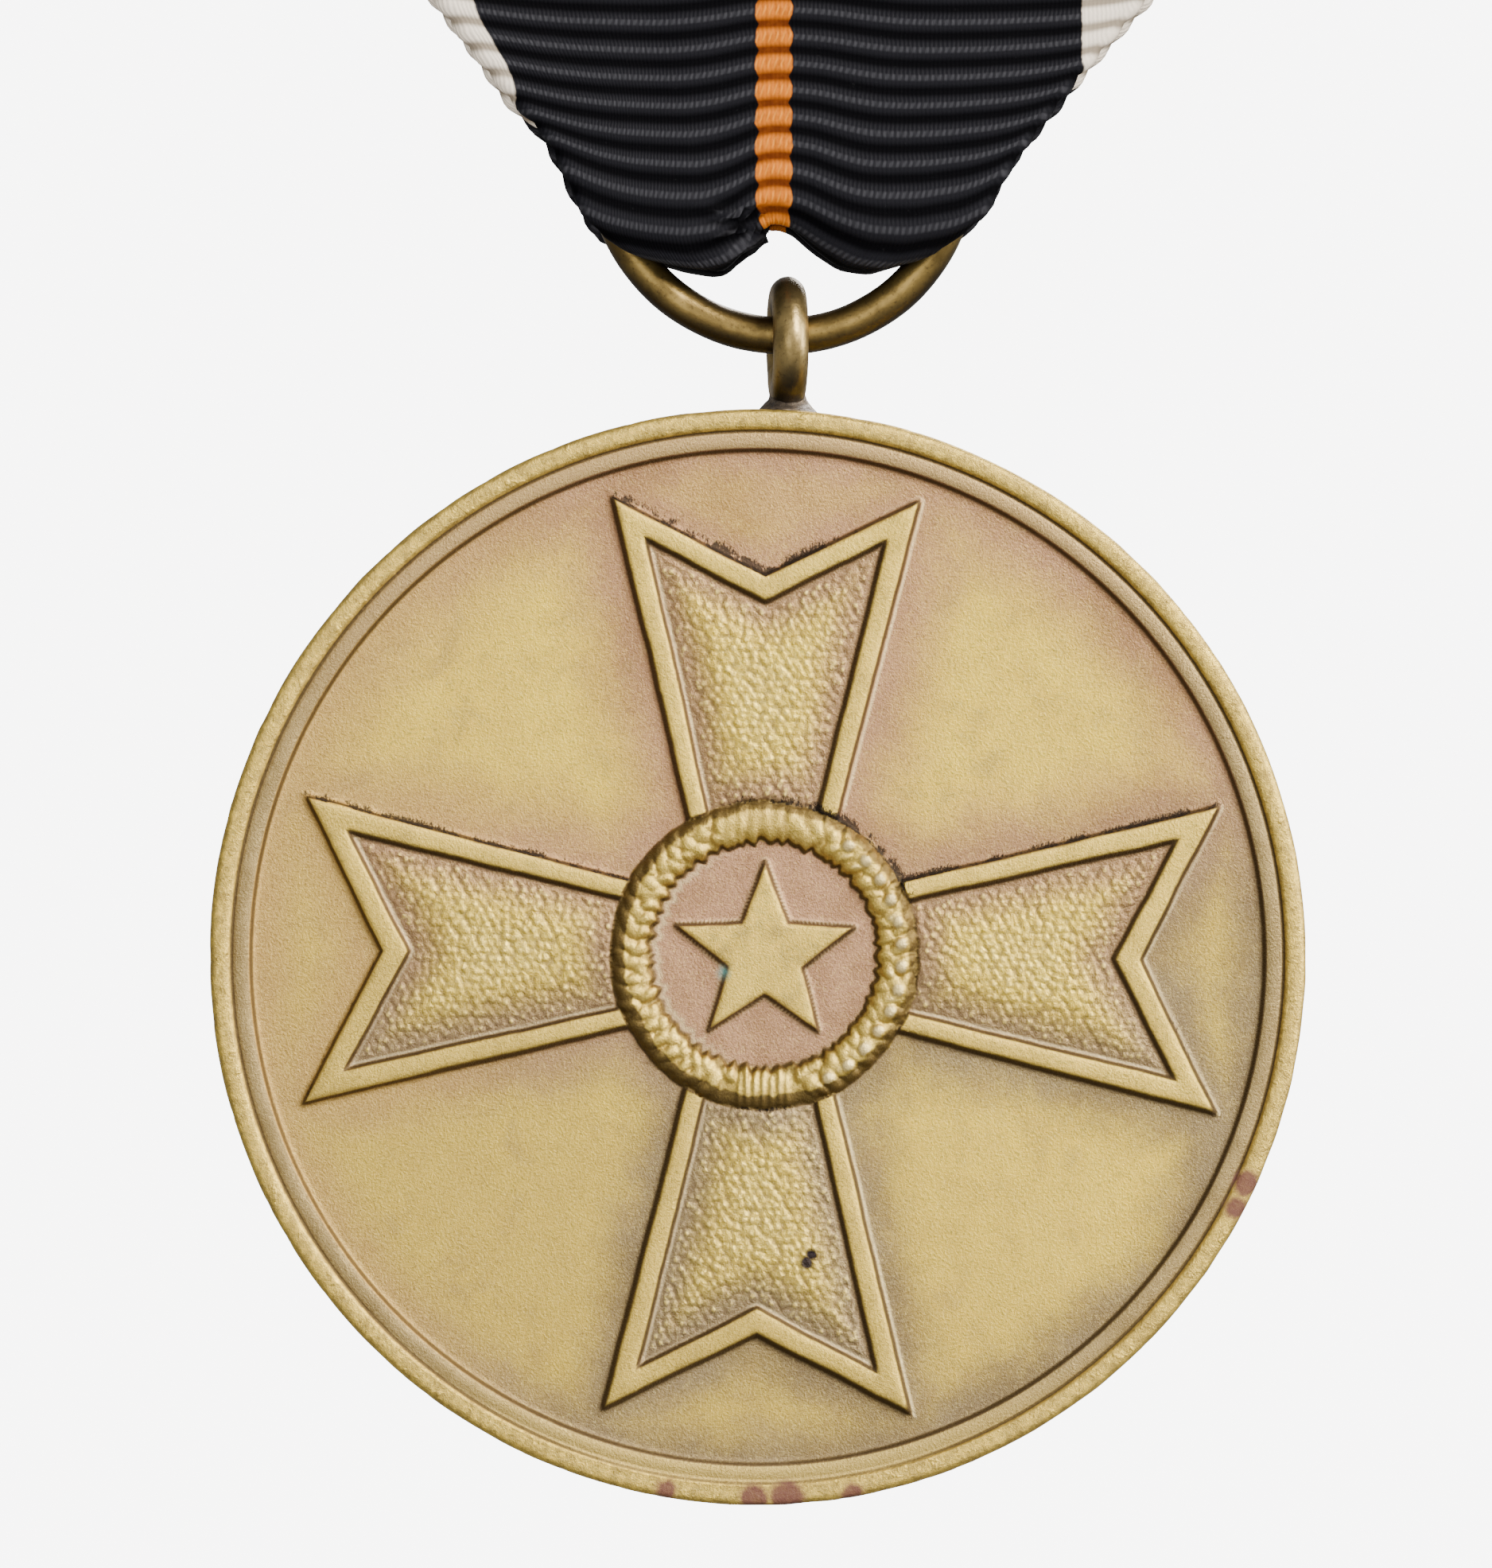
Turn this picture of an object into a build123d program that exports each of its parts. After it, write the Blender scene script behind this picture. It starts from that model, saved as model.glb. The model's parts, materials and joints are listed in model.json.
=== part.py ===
"""Military service medal on a folded ribbon, hanging from a pin-backed brooch.

Millimetres, +Z up. The front faces -Y. The origin is the middle of the brooch pin's round shaft,
which is where the garment's cloth sits, and everything else hangs from there in its own weight.
"""

import os
from math import cos, radians, sin, sqrt

from build123d import *

os.makedirs("parts", exist_ok=True)

# ---- Driving dimensions -------------------------------------------------------------------------
CHAIN_Y = -4.2  # the plane that ribbon, ring and medal hang in, in front of the pin

# Struck disc
DISC_RADIUS = 16.0
DISC_THICKNESS = 2.6  # over the two raised lips
LIP_WIDTH = 0.63
STEP_WIDTH = 0.55  # the narrow band inside the lip
STEP_DROP = 0.12
FIELD_DROP = 0.32
EDGE_ROUND = 0.12
CROSS_HEIGHT = 0.24  # border of the cross over the field
CROSS_TURN = -0.9  # degrees, how far the struck design sits from plumb
WREATH_OUTER = 4.5
WREATH_INNER = 3.25
WREATH_HEIGHT = 0.42
STAR_RADIUS = 2.75
STAR_WAIST = 1.16
STAR_HEIGHT = 0.2

# One arm of the cross, as distances out along the arm and half widths across it
ARM_ROOT = (3.6, 2.06)
ARM_TIP = (13.42, 4.5)
ARM_NOTCH = 11.2
PANEL_ROOT = (3.6, 1.5)
PANEL_TIP = (12.12, 3.5)
PANEL_NOTCH = 10.42

# Suspension
RING_WIRE = 1.12
RING_MEAN_RADIUS = 5.17
RING_CENTRE = (0.28, -38.0)  # X and Z
RING_SLIT_ANGLE = 1.5  # degrees of gap at the butt joint
EYELET_WIRE = 1.05
EYELET_MEAN_RADIUS = 1.43
EYELET_X = 0.42
EYELET_TWIST = 4.0  # degrees about the vertical
EYELET_SAG = 0.195  # the eyelet's centre under the ring wire's centre
DISC_CENTRE = (-0.45, RING_CENTRE[1] - 23.31)  # X and Z

# Ribbon
RIBBON_WIDTH = 30.0
RIBBON_THICKNESS = 0.5
RING_CLEARANCE = 0.2
FOLD_DEPTH = 2.0  # half the depth of the folded ribbon round the ring
FOLD_BOTTOM = RING_CENTRE[1] - 3.55
BRIDGE_TOP = RING_CENTRE[1] - 1.0
TAPER_TOP = RING_CENTRE[1] + 11.5
SEAM_Z = -5.5

# Brooch
ROD_RADIUS = 1.0
ROD_CLEARANCE = 0.05
BRACKET_INNER_X = 15.6
BRACKET_OUTER_X = 17.0
PIN_RADIUS = 0.4
PIN_TAPER_START = 8.5
PIN_TIP_X = 14.8
PIN_TIP_RADIUS = 0.08
HINGE_X = -14.2
HINGE_CANT = 38.0  # degrees that the hinge leans, so the pin drops out of the catch as it opens
RIVET_RADIUS = 0.45
EYE_RADIUS = 1.2
EYE_CLEARANCE = 0.05
EAR_RADIUS = 1.25
EAR_THICKNESS = 0.7
EAR_GAP = 0.05  # between the pin's eye and each ear
RIVET_HEAD_RADIUS = 0.85
RIVET_HEAD_THICKNESS = 0.35
CATCH_X = (12.4, 14.0)
CATCH_INNER = 0.5
CATCH_OUTER = 0.95
CATCH_LIP_ANGLE = 0.0  # where the hook's lip ends, in degrees above straight back

# ---- Frames -------------------------------------------------------------------------------------
ring_x, ring_z = RING_CENTRE
disc_x, disc_z = DISC_CENTRE


def facing(x, z, depth=0.0):
    """A plane square to the viewer, with its normal towards the front; depth is towards the front."""
    return Plane(origin=(x, CHAIN_Y - depth, z), x_dir=(1, 0, 0), z_dir=(0, -1, 0))


def side_on(x):
    """The YZ plane at x, with its own x along +Y and its own y along +Z."""
    return Plane(origin=(x, 0, 0), x_dir=(0, 1, 0), z_dir=(1, 0, 0))


def export(piece, name):
    """Labels one finished piece and writes it as its own STEP file."""
    piece.part.label = name
    export_step(piece.part, f"parts/{name}.step")
    print(f"{name}: {piece.part.volume:.2f} mm3")


def arm_outline(root, tip, notch):
    """The corners of one swallow-tailed arm, pointing up from the design's centre."""
    (root_out, root_half), (tip_out, tip_half) = root, tip
    left_half = [(-root_half, root_out), (-tip_half, tip_out), (0, notch)]
    right_half = [(tip_half, tip_out), (root_half, root_out)]
    return left_half + right_half


def star_corners():
    """The ten corners of the star, tips and waists in turn, starting straight up."""
    corners = []
    for i in range(10):
        radius = STAR_WAIST if i % 2 else STAR_RADIUS
        corners.append((radius * sin(radians(36 * i)), radius * cos(radians(36 * i))))
    return corners


# ---- Medal disc: one struck piece ---------------------------------------------------------------
half_thick = DISC_THICKNESS / 2
field_depth = half_thick - FIELD_DROP
inner_radius = DISC_RADIUS - LIP_WIDTH - STEP_WIDTH

with BuildPart() as medal_disc:
    with BuildSketch(facing(disc_x, disc_z, -half_thick)):
        Circle(DISC_RADIUS)
    extrude(amount=DISC_THICKNESS)
    chamfer(medal_disc.edges().filter_by(GeomType.CIRCLE), EDGE_ROUND)
    for side in (1, -1):  # front and back sink alike
        sunk = facing(disc_x, disc_z, side * half_thick)
        with BuildSketch(sunk):
            Circle(DISC_RADIUS - LIP_WIDTH)
        extrude(amount=-side * STEP_DROP, mode=Mode.SUBTRACT)
        with BuildSketch(sunk):
            Circle(inner_radius)
        extrude(amount=-side * FIELD_DROP, mode=Mode.SUBTRACT)
    design = facing(disc_x, disc_z, field_depth).rotated((0, 0, CROSS_TURN))
    with BuildSketch(design):  # the cross: four bordered arms
        with PolarLocations(0, 4):
            Polygon(*arm_outline(ARM_ROOT, ARM_TIP, ARM_NOTCH), align=None)
        with PolarLocations(0, 4):
            panel = arm_outline(PANEL_ROOT, PANEL_TIP, PANEL_NOTCH)
            Polygon(*panel, align=None, mode=Mode.SUBTRACT)
    extrude(amount=CROSS_HEIGHT)
    with BuildSketch(design):  # the wreath's band
        Circle(WREATH_OUTER)
    extrude(amount=CROSS_HEIGHT)
    with BuildSketch(design.offset(CROSS_HEIGHT)):
        Circle(WREATH_OUTER)
    extrude(amount=WREATH_HEIGHT - CROSS_HEIGHT, taper=40)
    with BuildSketch(design):
        Circle(WREATH_INNER)
    extrude(amount=WREATH_HEIGHT, mode=Mode.SUBTRACT)
    with BuildSketch(design):  # a plain five-pointed star
        Polygon(*star_corners(), align=None)
    extrude(amount=STAR_HEIGHT)
export(medal_disc, "medal_disc")

# ---- Eyelet and its solder ----------------------------------------------------------------------
eyelet_z = ring_z - RING_MEAN_RADIUS - EYELET_SAG
eyelet_frame = Plane(
    origin=(EYELET_X, CHAIN_Y, eyelet_z),
    x_dir=(-sin(radians(EYELET_TWIST)), cos(radians(EYELET_TWIST)), 0),
    z_dir=(cos(radians(EYELET_TWIST)), sin(radians(EYELET_TWIST)), 0),
)

with BuildPart() as eyelet:
    with BuildSketch(Plane(eyelet_frame.origin, x_dir=eyelet_frame.x_dir, z_dir=(0, 0, 1))):
        with Locations((EYELET_MEAN_RADIUS, 0)):
            Circle(EYELET_WIRE / 2)
    revolve(axis=Axis(eyelet_frame.origin, eyelet_frame.z_dir), revolution_arc=360)
export(eyelet, "eyelet")

edge_drop = DISC_RADIUS - sqrt(DISC_RADIUS**2 - (EYELET_X - disc_x) ** 2)
foot_z = disc_z + DISC_RADIUS - edge_drop  # where the eyelet stands on the disc's edge
SOLDER_TOP = (0.56, 0.72)
SOLDER_FOOT = (0.82, 1.12)
SOLDER_RISE = 0.62
SOLDER_SINK = 0.2  # how far the fillet wraps down the disc's curved edge

with BuildPart() as eyelet_solder:
    with BuildSketch(Plane.XY.offset(foot_z - SOLDER_SINK)):
        with Locations((EYELET_X, CHAIN_Y)):
            Ellipse(*SOLDER_FOOT)
    with BuildSketch(Plane.XY.offset(foot_z + SOLDER_RISE)):
        with Locations((EYELET_X, CHAIN_Y)):
            Ellipse(*SOLDER_TOP)
    loft()
    add(eyelet.part, mode=Mode.SUBTRACT)
    with BuildSketch(facing(disc_x, disc_z, -half_thick)):
        Circle(DISC_RADIUS)
    extrude(amount=DISC_THICKNESS, mode=Mode.SUBTRACT)
export(eyelet_solder, "eyelet_solder")

# ---- Suspension ring: round wire, closed at a butt joint at the top ------------------------------
slit = RING_SLIT_ANGLE / 2
start_dir = (sin(radians(slit)), 0, cos(radians(slit)))

with BuildPart() as suspension_ring:
    ring_section = Plane(
        origin=(ring_x, CHAIN_Y, ring_z), x_dir=start_dir, z_dir=(cos(radians(slit)), 0, -start_dir[0])
    )
    with BuildSketch(ring_section):
        with Locations((RING_MEAN_RADIUS, 0)):
            Circle(RING_WIRE / 2)
    revolve(axis=Axis((ring_x, CHAIN_Y, ring_z), (0, 1, 0)), revolution_arc=360 - RING_SLIT_ANGLE)
export(suspension_ring, "suspension_ring")

# ---- Ribbon: one loop over the rod and through the ring -----------------------------------------
loop_inner = ROD_RADIUS + ROD_CLEARANCE
loop_outer = loop_inner + RIBBON_THICKNESS
ply_inner = RING_WIRE / 2 + RING_CLEARANCE
ring_top = ring_z + RING_MEAN_RADIUS + RING_WIRE / 2
lie_inner = 0.05  # the two plies all but touch between the seam and the ring
lie_outer = lie_inner + RIBBON_THICKNESS

# Half of the loop's side view, as distance from the chain's plane and height
outer_side = [
    (loop_outer, 0),
    (lie_outer, SEAM_Z),
    (lie_outer, TAPER_TOP + 3.5),
    (FOLD_DEPTH, ring_top + 2.0),
    (FOLD_DEPTH, FOLD_BOTTOM + 1.2),
]
inner_side = [
    (loop_inner, 0),
    (lie_inner, SEAM_Z),
    (lie_inner, TAPER_TOP),
    (ply_inner, ring_top + 0.6),
    (ply_inner, BRIDGE_TOP),
]

# The front outline: width falls from full to the two rounded lobes that pass through the ring
LEFT_EDGE = [(-RIBBON_WIDTH / 2, 4.0), (-RIBBON_WIDTH / 2, TAPER_TOP), (-9.9, ring_z + 4.7)]
LEFT_LOBE = [(-6.3, ring_z - 0.3), (-4.6, ring_z - 2.5), (-1.95, FOLD_BOTTOM), (-1.1, ring_z - 3.0)]
NOTCH_TOP = [(-0.7, ring_z - 2.2), (1.3, ring_z - 2.2)]
RIGHT_LOBE = [(1.75, ring_z - 3.0), (2.65, FOLD_BOTTOM), (5.3, ring_z - 2.5), (6.7, ring_z - 0.3)]
RIGHT_EDGE = [(10.8, ring_z + 4.7), (RIBBON_WIDTH / 2, TAPER_TOP), (RIBBON_WIDTH / 2, 4.0)]

with BuildPart() as ribbon:
    with BuildSketch(side_on(-RIBBON_WIDTH / 2)):
        with BuildLine():
            front = [(CHAIN_Y - depth, z) for depth, z in outer_side]
            back = [(CHAIN_Y + depth, z) for depth, z in reversed(outer_side)]
            Polyline(*front)
            ThreePointArc(front[-1], (CHAIN_Y, FOLD_BOTTOM), back[0])
            Polyline(*back)
            ThreePointArc(back[-1], (CHAIN_Y, loop_outer), front[0])
        make_face()
        with BuildLine():
            front = [(CHAIN_Y - depth, z) for depth, z in inner_side]
            back = [(CHAIN_Y + depth, z) for depth, z in reversed(inner_side)]
            Polyline(*front)
            Line(front[-1], back[0])
            Polyline(*back)
            ThreePointArc(back[-1], (CHAIN_Y, loop_inner), front[0])
        make_face(mode=Mode.SUBTRACT)
    extrude(amount=RIBBON_WIDTH)
    with BuildSketch(facing(0, 0, -2 * FOLD_DEPTH)):
        with BuildLine():
            Polyline(*LEFT_EDGE, *LEFT_LOBE, *NOTCH_TOP, *RIGHT_LOBE, *RIGHT_EDGE, close=True)
        make_face()
    extrude(amount=4 * FOLD_DEPTH, mode=Mode.INTERSECT)
    channel = RING_WIRE / 2 + RING_CLEARANCE
    with BuildSketch(facing(ring_x, ring_z, -channel)):  # the ring's way round through the fold
        Circle(RING_MEAN_RADIUS + channel)
        Circle(RING_MEAN_RADIUS - channel, mode=Mode.SUBTRACT)
    extrude(amount=2 * channel, mode=Mode.SUBTRACT)
export(ribbon, "ribbon")

# ---- Seam stitches: one row through both plies, under the rod -----------------------------------
STITCH_Z = SEAM_Z - 0.8
STITCH_LENGTH = 1.3
STITCH_PITCH = 2.1
STITCH_RADIUS = 0.14
STITCH_COUNT = 14
stitch_depth = lie_outer + STITCH_RADIUS

with BuildPart() as seam_stitches:
    with BuildSketch(side_on(-STITCH_LENGTH / 2)):  # one stitch shows on each face
        with Locations((CHAIN_Y - stitch_depth, STITCH_Z), (CHAIN_Y + stitch_depth, STITCH_Z)):
            Circle(STITCH_RADIUS)
    one_stitch = extrude(amount=STITCH_LENGTH, mode=Mode.PRIVATE)
    with GridLocations(STITCH_PITCH, 1, STITCH_COUNT, 1):
        add(one_stitch)
export(seam_stitches, "seam_stitches")

# ---- Brooch: rod, hinge bracket, catch bracket, rivet and pin -----------------------------------
with BuildPart() as brooch_rod:
    with BuildSketch(side_on(-BRACKET_OUTER_X)):
        with Locations((CHAIN_Y, 0)):
            Circle(ROD_RADIUS)
    extrude(amount=2 * BRACKET_OUTER_X)
    chamfer(brooch_rod.edges().filter_by(GeomType.CIRCLE), EDGE_ROUND)
export(brooch_rod, "brooch_rod")

BOSS_RADIUS = 1.8
ARM_HALF_HEIGHT = 1.3
bracket_thick = BRACKET_OUTER_X - BRACKET_INNER_X


def bracket_side(back_radius):
    """The side plate's outline: a boss round the rod, joined to a rounded end behind the pin."""
    with Locations((CHAIN_Y, 0)):
        Circle(BOSS_RADIUS)
    with Locations((CHAIN_Y / 2, 0)):
        Rectangle(-CHAIN_Y, 2 * ARM_HALF_HEIGHT)
    Circle(back_radius)
    with Locations((CHAIN_Y, 0)):
        Circle(ROD_RADIUS, mode=Mode.SUBTRACT)


hinge_axis_dir = (0, sin(radians(HINGE_CANT)), cos(radians(HINGE_CANT)))
hinge = Plane(origin=(HINGE_X, 0, 0), x_dir=(1, 0, 0), z_dir=hinge_axis_dir)
ear_inner = PIN_RADIUS + EAR_GAP
ear_outer = ear_inner + EAR_THICKNESS

with BuildPart() as hinge_bracket:
    with BuildSketch(side_on(-BRACKET_OUTER_X)):
        bracket_side(1.75)
    extrude(amount=bracket_thick)
    reach = HINGE_X + BRACKET_OUTER_X - bracket_thick / 2
    for start in (ear_inner, -ear_outer):  # two ears, above and below the pin's eye
        with BuildSketch(hinge.offset(start)):
            Circle(EAR_RADIUS)
            with Locations((-reach / 2, 0)):
                Rectangle(reach, 2 * EAR_RADIUS)
        extrude(amount=EAR_THICKNESS)
    with BuildSketch(hinge.offset(-ear_outer)):
        Circle(RIVET_RADIUS)
    extrude(amount=2 * ear_outer, mode=Mode.SUBTRACT)
export(hinge_bracket, "hinge_bracket")

with BuildPart() as hinge_rivet:
    with BuildSketch(hinge.offset(-ear_outer)):
        Circle(RIVET_RADIUS)
    extrude(amount=2 * ear_outer)
    for start in (ear_outer, -ear_outer - RIVET_HEAD_THICKNESS):
        with BuildSketch(hinge.offset(start)):
            Circle(RIVET_HEAD_RADIUS)
        extrude(amount=RIVET_HEAD_THICKNESS)
export(hinge_rivet, "hinge_rivet")

with BuildPart() as brooch_pin:
    with BuildSketch(hinge.offset(-PIN_RADIUS)):
        Circle(EYE_RADIUS)
    extrude(amount=2 * PIN_RADIUS)
    needle_start = HINGE_X + (RIVET_RADIUS + EYE_RADIUS) / 2
    with BuildSketch(side_on(needle_start)):
        Circle(PIN_RADIUS)
    extrude(amount=PIN_TAPER_START - needle_start)
    with BuildSketch(side_on(PIN_TAPER_START)):
        Circle(PIN_RADIUS)
    with BuildSketch(side_on(PIN_TIP_X)):
        Circle(PIN_TIP_RADIUS)
    loft()
    with BuildSketch(hinge.offset(-2 * PIN_RADIUS)):
        Circle(RIVET_RADIUS + EYE_CLEARANCE)
    extrude(amount=4 * PIN_RADIUS, mode=Mode.SUBTRACT)
export(brooch_pin, "brooch_pin")


def around(radius, angle):
    """A point beside the pin, as seen from its tip: 0 degrees is straight back and 90 is up."""
    return (radius * cos(radians(angle)), radius * sin(radians(angle)))


with BuildPart() as catch_bracket:
    with BuildSketch(side_on(BRACKET_INNER_X)):
        bracket_side(1.3)
    extrude(amount=bracket_thick)
    hook_start, hook_end = CATCH_X
    with BuildSketch(side_on(hook_start)):  # a hook over the pin, open below and behind
        with BuildLine():
            ThreePointArc(*(around(CATCH_OUTER, a) for a in (CATCH_LIP_ANGLE, 120, 225)))
            Line(around(CATCH_OUTER, 225), around(CATCH_INNER, 225))
            ThreePointArc(*(around(CATCH_INNER, a) for a in (225, 120, CATCH_LIP_ANGLE)))
            Line(around(CATCH_INNER, CATCH_LIP_ANGLE), around(CATCH_OUTER, CATCH_LIP_ANGLE))
        make_face()
    extrude(amount=BRACKET_INNER_X - hook_start)
export(catch_bracket, "catch_bracket")
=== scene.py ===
"""Looks for the service medal: relief, woven ribbon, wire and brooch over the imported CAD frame."""

import json
from math import atan2, cos, pi, radians, sin, sqrt

import bmesh
import bpy
import numpy as np
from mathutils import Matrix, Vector
from mathutils.geometry import delaunay_2d_cdt


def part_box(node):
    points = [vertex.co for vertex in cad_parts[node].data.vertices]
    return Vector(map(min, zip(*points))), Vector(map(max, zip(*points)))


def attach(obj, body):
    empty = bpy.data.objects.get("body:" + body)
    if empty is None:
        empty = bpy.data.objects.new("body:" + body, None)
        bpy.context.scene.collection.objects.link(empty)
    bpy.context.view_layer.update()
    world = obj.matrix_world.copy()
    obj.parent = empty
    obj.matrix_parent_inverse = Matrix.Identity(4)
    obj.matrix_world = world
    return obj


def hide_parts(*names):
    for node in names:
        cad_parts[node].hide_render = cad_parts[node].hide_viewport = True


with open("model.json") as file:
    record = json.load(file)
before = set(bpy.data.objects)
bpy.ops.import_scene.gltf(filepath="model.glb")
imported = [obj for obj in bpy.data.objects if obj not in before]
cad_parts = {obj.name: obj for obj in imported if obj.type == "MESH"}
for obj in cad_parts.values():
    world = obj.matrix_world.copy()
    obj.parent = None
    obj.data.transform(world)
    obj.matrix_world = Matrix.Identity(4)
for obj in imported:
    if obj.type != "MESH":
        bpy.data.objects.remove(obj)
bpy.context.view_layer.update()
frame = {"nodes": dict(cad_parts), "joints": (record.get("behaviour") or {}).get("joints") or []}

MM = 0.001
rng = np.random.default_rng(7)

# ---- Sizes shared with the CAD frame, in millimetres ---------------------------------------------
hinge = next(joint for joint in frame["joints"] if joint["name"] == "ring_turn")
RING_X, CHAIN_Y, RING_Z = (value / MM for value in hinge["pos_m"])
disc_low, disc_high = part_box("medal_disc")
DISC_X, DISC_Z = ((disc_low[k] + disc_high[k]) / 2 / MM for k in (0, 2))
DISC_R = 16.0
HALF_THICK = 1.3
FIELD = 0.98  # height of the field over the disc's middle plane
RING_R, RING_WIRE = 5.17, 0.548
EYELET_X, EYELET_R, EYELET_WIRE = 0.42, 1.43, 0.515
EYELET_DROP = 0.195  # the eyelet's centre hangs this far below the ring's wire
HEX_ROW = 0.866  # rows of a hexagonal layout lie this share of the pitch apart


# ---- Small numeric helpers -----------------------------------------------------------------------
def smooth(lo, hi, x):
    """An even rise from 0 at lo to 1 at hi."""
    t = np.clip((x - lo) / (hi - lo), 0, 1)
    return t * t * (3 - 2 * t)


def bell(x, middle, reach):
    """1 at the middle, fading to both sides."""
    return np.exp(-((x - middle) / reach) ** 2)


def lattice(ix, iy, seed):
    """A repeatable value from -1 to 1 for each whole-number pair."""
    n = np.sin(ix * 127.1 + iy * 311.7 + seed * 74.7) * 43758.5453
    return 2 * (n - np.floor(n)) - 1


def noise(x, y, seed=0.0):
    """Smooth value noise from -1 to 1."""
    ix, iy = np.floor(x), np.floor(y)
    fx, fy = smooth(0, 1, x - ix), smooth(0, 1, y - iy)
    top = lattice(ix, iy, seed) * (1 - fx) + lattice(ix + 1, iy, seed) * fx
    low = lattice(ix, iy + 1, seed) * (1 - fx) + lattice(ix + 1, iy + 1, seed) * fx
    return top * (1 - fy) + low * fy


def noise_at(x, y, seed):
    """The same noise at one place, as a plain number."""
    return float(noise(np.array(x), np.array(y), seed))


def seg_distance(px, py, ax, ay, bx, by):
    """Distance from each place p to the straight line from a to b."""
    dx, dy = bx - ax, by - ay
    t = np.clip(((px - ax) * dx + (py - ay) * dy) / (dx * dx + dy * dy), 0, 1)
    return np.hypot(px - ax - t * dx, py - ay - t * dy)


def new_mesh(name, verts, faces, material, attributes=None):
    """A smooth-shaded object in metres, with one number for each vertex in every attribute."""
    mesh = bpy.data.meshes.new(name)
    mesh.from_pydata([tuple(v) for v in np.asarray(verts, float)], [], [tuple(map(int, f)) for f in faces])
    mesh.update()
    for key, values in (attributes or {}).items():
        attribute = mesh.attributes.new(key, "FLOAT", "POINT")
        attribute.data.foreach_set("value", np.asarray(values, np.float32))
    mesh.shade_smooth()
    mesh.materials.append(material)
    obj = bpy.data.objects.new(name, mesh)
    bpy.context.scene.collection.objects.link(obj)
    return obj


# ---- Struck relief: places are millimetres right of and above the disc's centre ------------------
TURN = radians(-0.65)  # the cross stands a little askew and off the disc's centre
CROSS_X, CROSS_Y = 0.10, 0.06
WREATH_X = 0.10  # the wreath's centre, to the right of the cross's
WREATH_OUT, WREATH_IN = 4.5, 3.3
# An arm's half outline: root and tip as (distance from the centre, half width), and the notch's depth
OUT_ARM = ((3.6, 2.06), (13.28, 4.46), 11.05)
IN_ARM = ((3.6, 1.5), (12.12, 3.5), 10.30)
BORDER_H, PANEL_H, WREATH_H, STAR_H = 0.24, 0.05, 0.40, 0.20
CROWN_H, GRAIN_H = 0.10, 0.046  # how far a panel swells in its middle, and its grains over that
STAR_R, STAR_WAIST = 2.7, 1.14
PEBBLE = 0.235  # pitch of the grain in the arm panels
FIELD_R, STEP_R, GROOVE_R, LIP_R = 14.8, 14.84, 15.34, 15.38  # where field, step, groove and lip start
# A struck step: height as a share, at a distance outside the middle of its top edge
WALL_S = np.array([-0.22, -0.12, -0.05, 0.0, 0.04, 0.08, 0.13, 0.21])
WALL_H = np.array([1.0, 0.975, 0.89, 0.68, 0.38, 0.14, 0.035, 0.0])
WALL_REACH = 0.22  # just past the last of these


def to_cross(x, y):
    """Places on the disc as seen from the cross's own centre and axes."""
    x, y = x - CROSS_X, y - CROSS_Y
    return x * cos(TURN) + y * sin(TURN), y * cos(TURN) - x * sin(TURN)


def from_cross(x, y, turn=TURN):
    """The way back, for a point (x, y) on an arm turned by turn."""
    return x * cos(turn) - y * sin(turn) + CROSS_X, x * sin(turn) + y * cos(turn) + CROSS_Y


def wreath_distance(x, y):
    """Distance from the wreath's centre, for places on the disc."""
    p, q = to_cross(x, y)
    return np.hypot(p - WREATH_X, q)


def wall(s):
    """Height, as a share, of a struck step at s outside its top edge."""
    return np.interp(s, WALL_S, WALL_H)


def arm_distance(p, q, arm):
    """Signed distance to the nearest arm's outline, negative inside it."""
    root, tip, notch = arm
    u = np.maximum(np.abs(p), np.abs(q))
    v = np.minimum(np.abs(p), np.abs(q))
    side = seg_distance(u, v, root[0], root[1], tip[0], tip[1])
    end = seg_distance(u, v, tip[0], tip[1], notch, 0.0)
    slope = (tip[1] - root[1]) / (tip[0] - root[0])
    under_side = v < root[1] + (u - root[0]) * slope
    before_end = u < notch + v * (tip[0] - notch) / tip[1]
    return np.where(under_side & before_end, -1, 1) * np.minimum(side, end)


def star_points(grow=0.0):
    """The star's ten corners, moved outwards by grow along its sides."""
    points = []
    for i in range(10):
        r = (STAR_WAIST + grow * 1.25) if i % 2 else (STAR_R + grow * 2.4)
        points.append((r * sin(pi * i / 5), r * cos(pi * i / 5)))
    return points


def star_distance(p, q):
    """Signed distance to the star's outline, negative inside it."""
    points = star_points()
    best = np.full(np.shape(p), np.inf)
    inside = np.zeros(np.shape(p), bool)
    for (ax, ay), (bx, by) in zip(points, points[1:] + points[:1]):
        best = np.minimum(best, seg_distance(p, q, ax, ay, bx, by))
        crosses = (ay > q) != (by > q)
        with np.errstate(divide="ignore", invalid="ignore"):
            at = ax + (q - ay) * (bx - ax) / (by - ay)
        inside ^= crosses & (p < at)
    return np.where(inside, -best, best)


def leaf_table():
    """Plump leaves of the wreath: angle, radius, direction, half length, half width, height."""
    leaves = []
    rows = ((3.58, -34, 0.36), (3.98, 8, 0.40), (4.22, 40, 0.32))  # radius, lean in degrees, half length
    first, pitch, stagger = -72, 7.3, 2.4  # degrees round the wreath
    for side in (1, -1):
        for i in range(21):
            for row, (radius, lean, length) in enumerate(rows):
                base = radians(first + i * pitch + stagger * row)
                jitter = rng.normal(0, 1, 5)
                leaves.append((
                    (base if side > 0 else pi - base) + radians(0.9) * jitter[0],
                    radius + 0.05 * jitter[1],
                    side * (radians(lean) + 0.22 * jitter[2]),
                    length + 0.04 * jitter[3],
                    0.215 + 0.025 * jitter[4],
                    0.075 + 0.045 * rng.random(),
                ))
    return leaves


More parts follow.
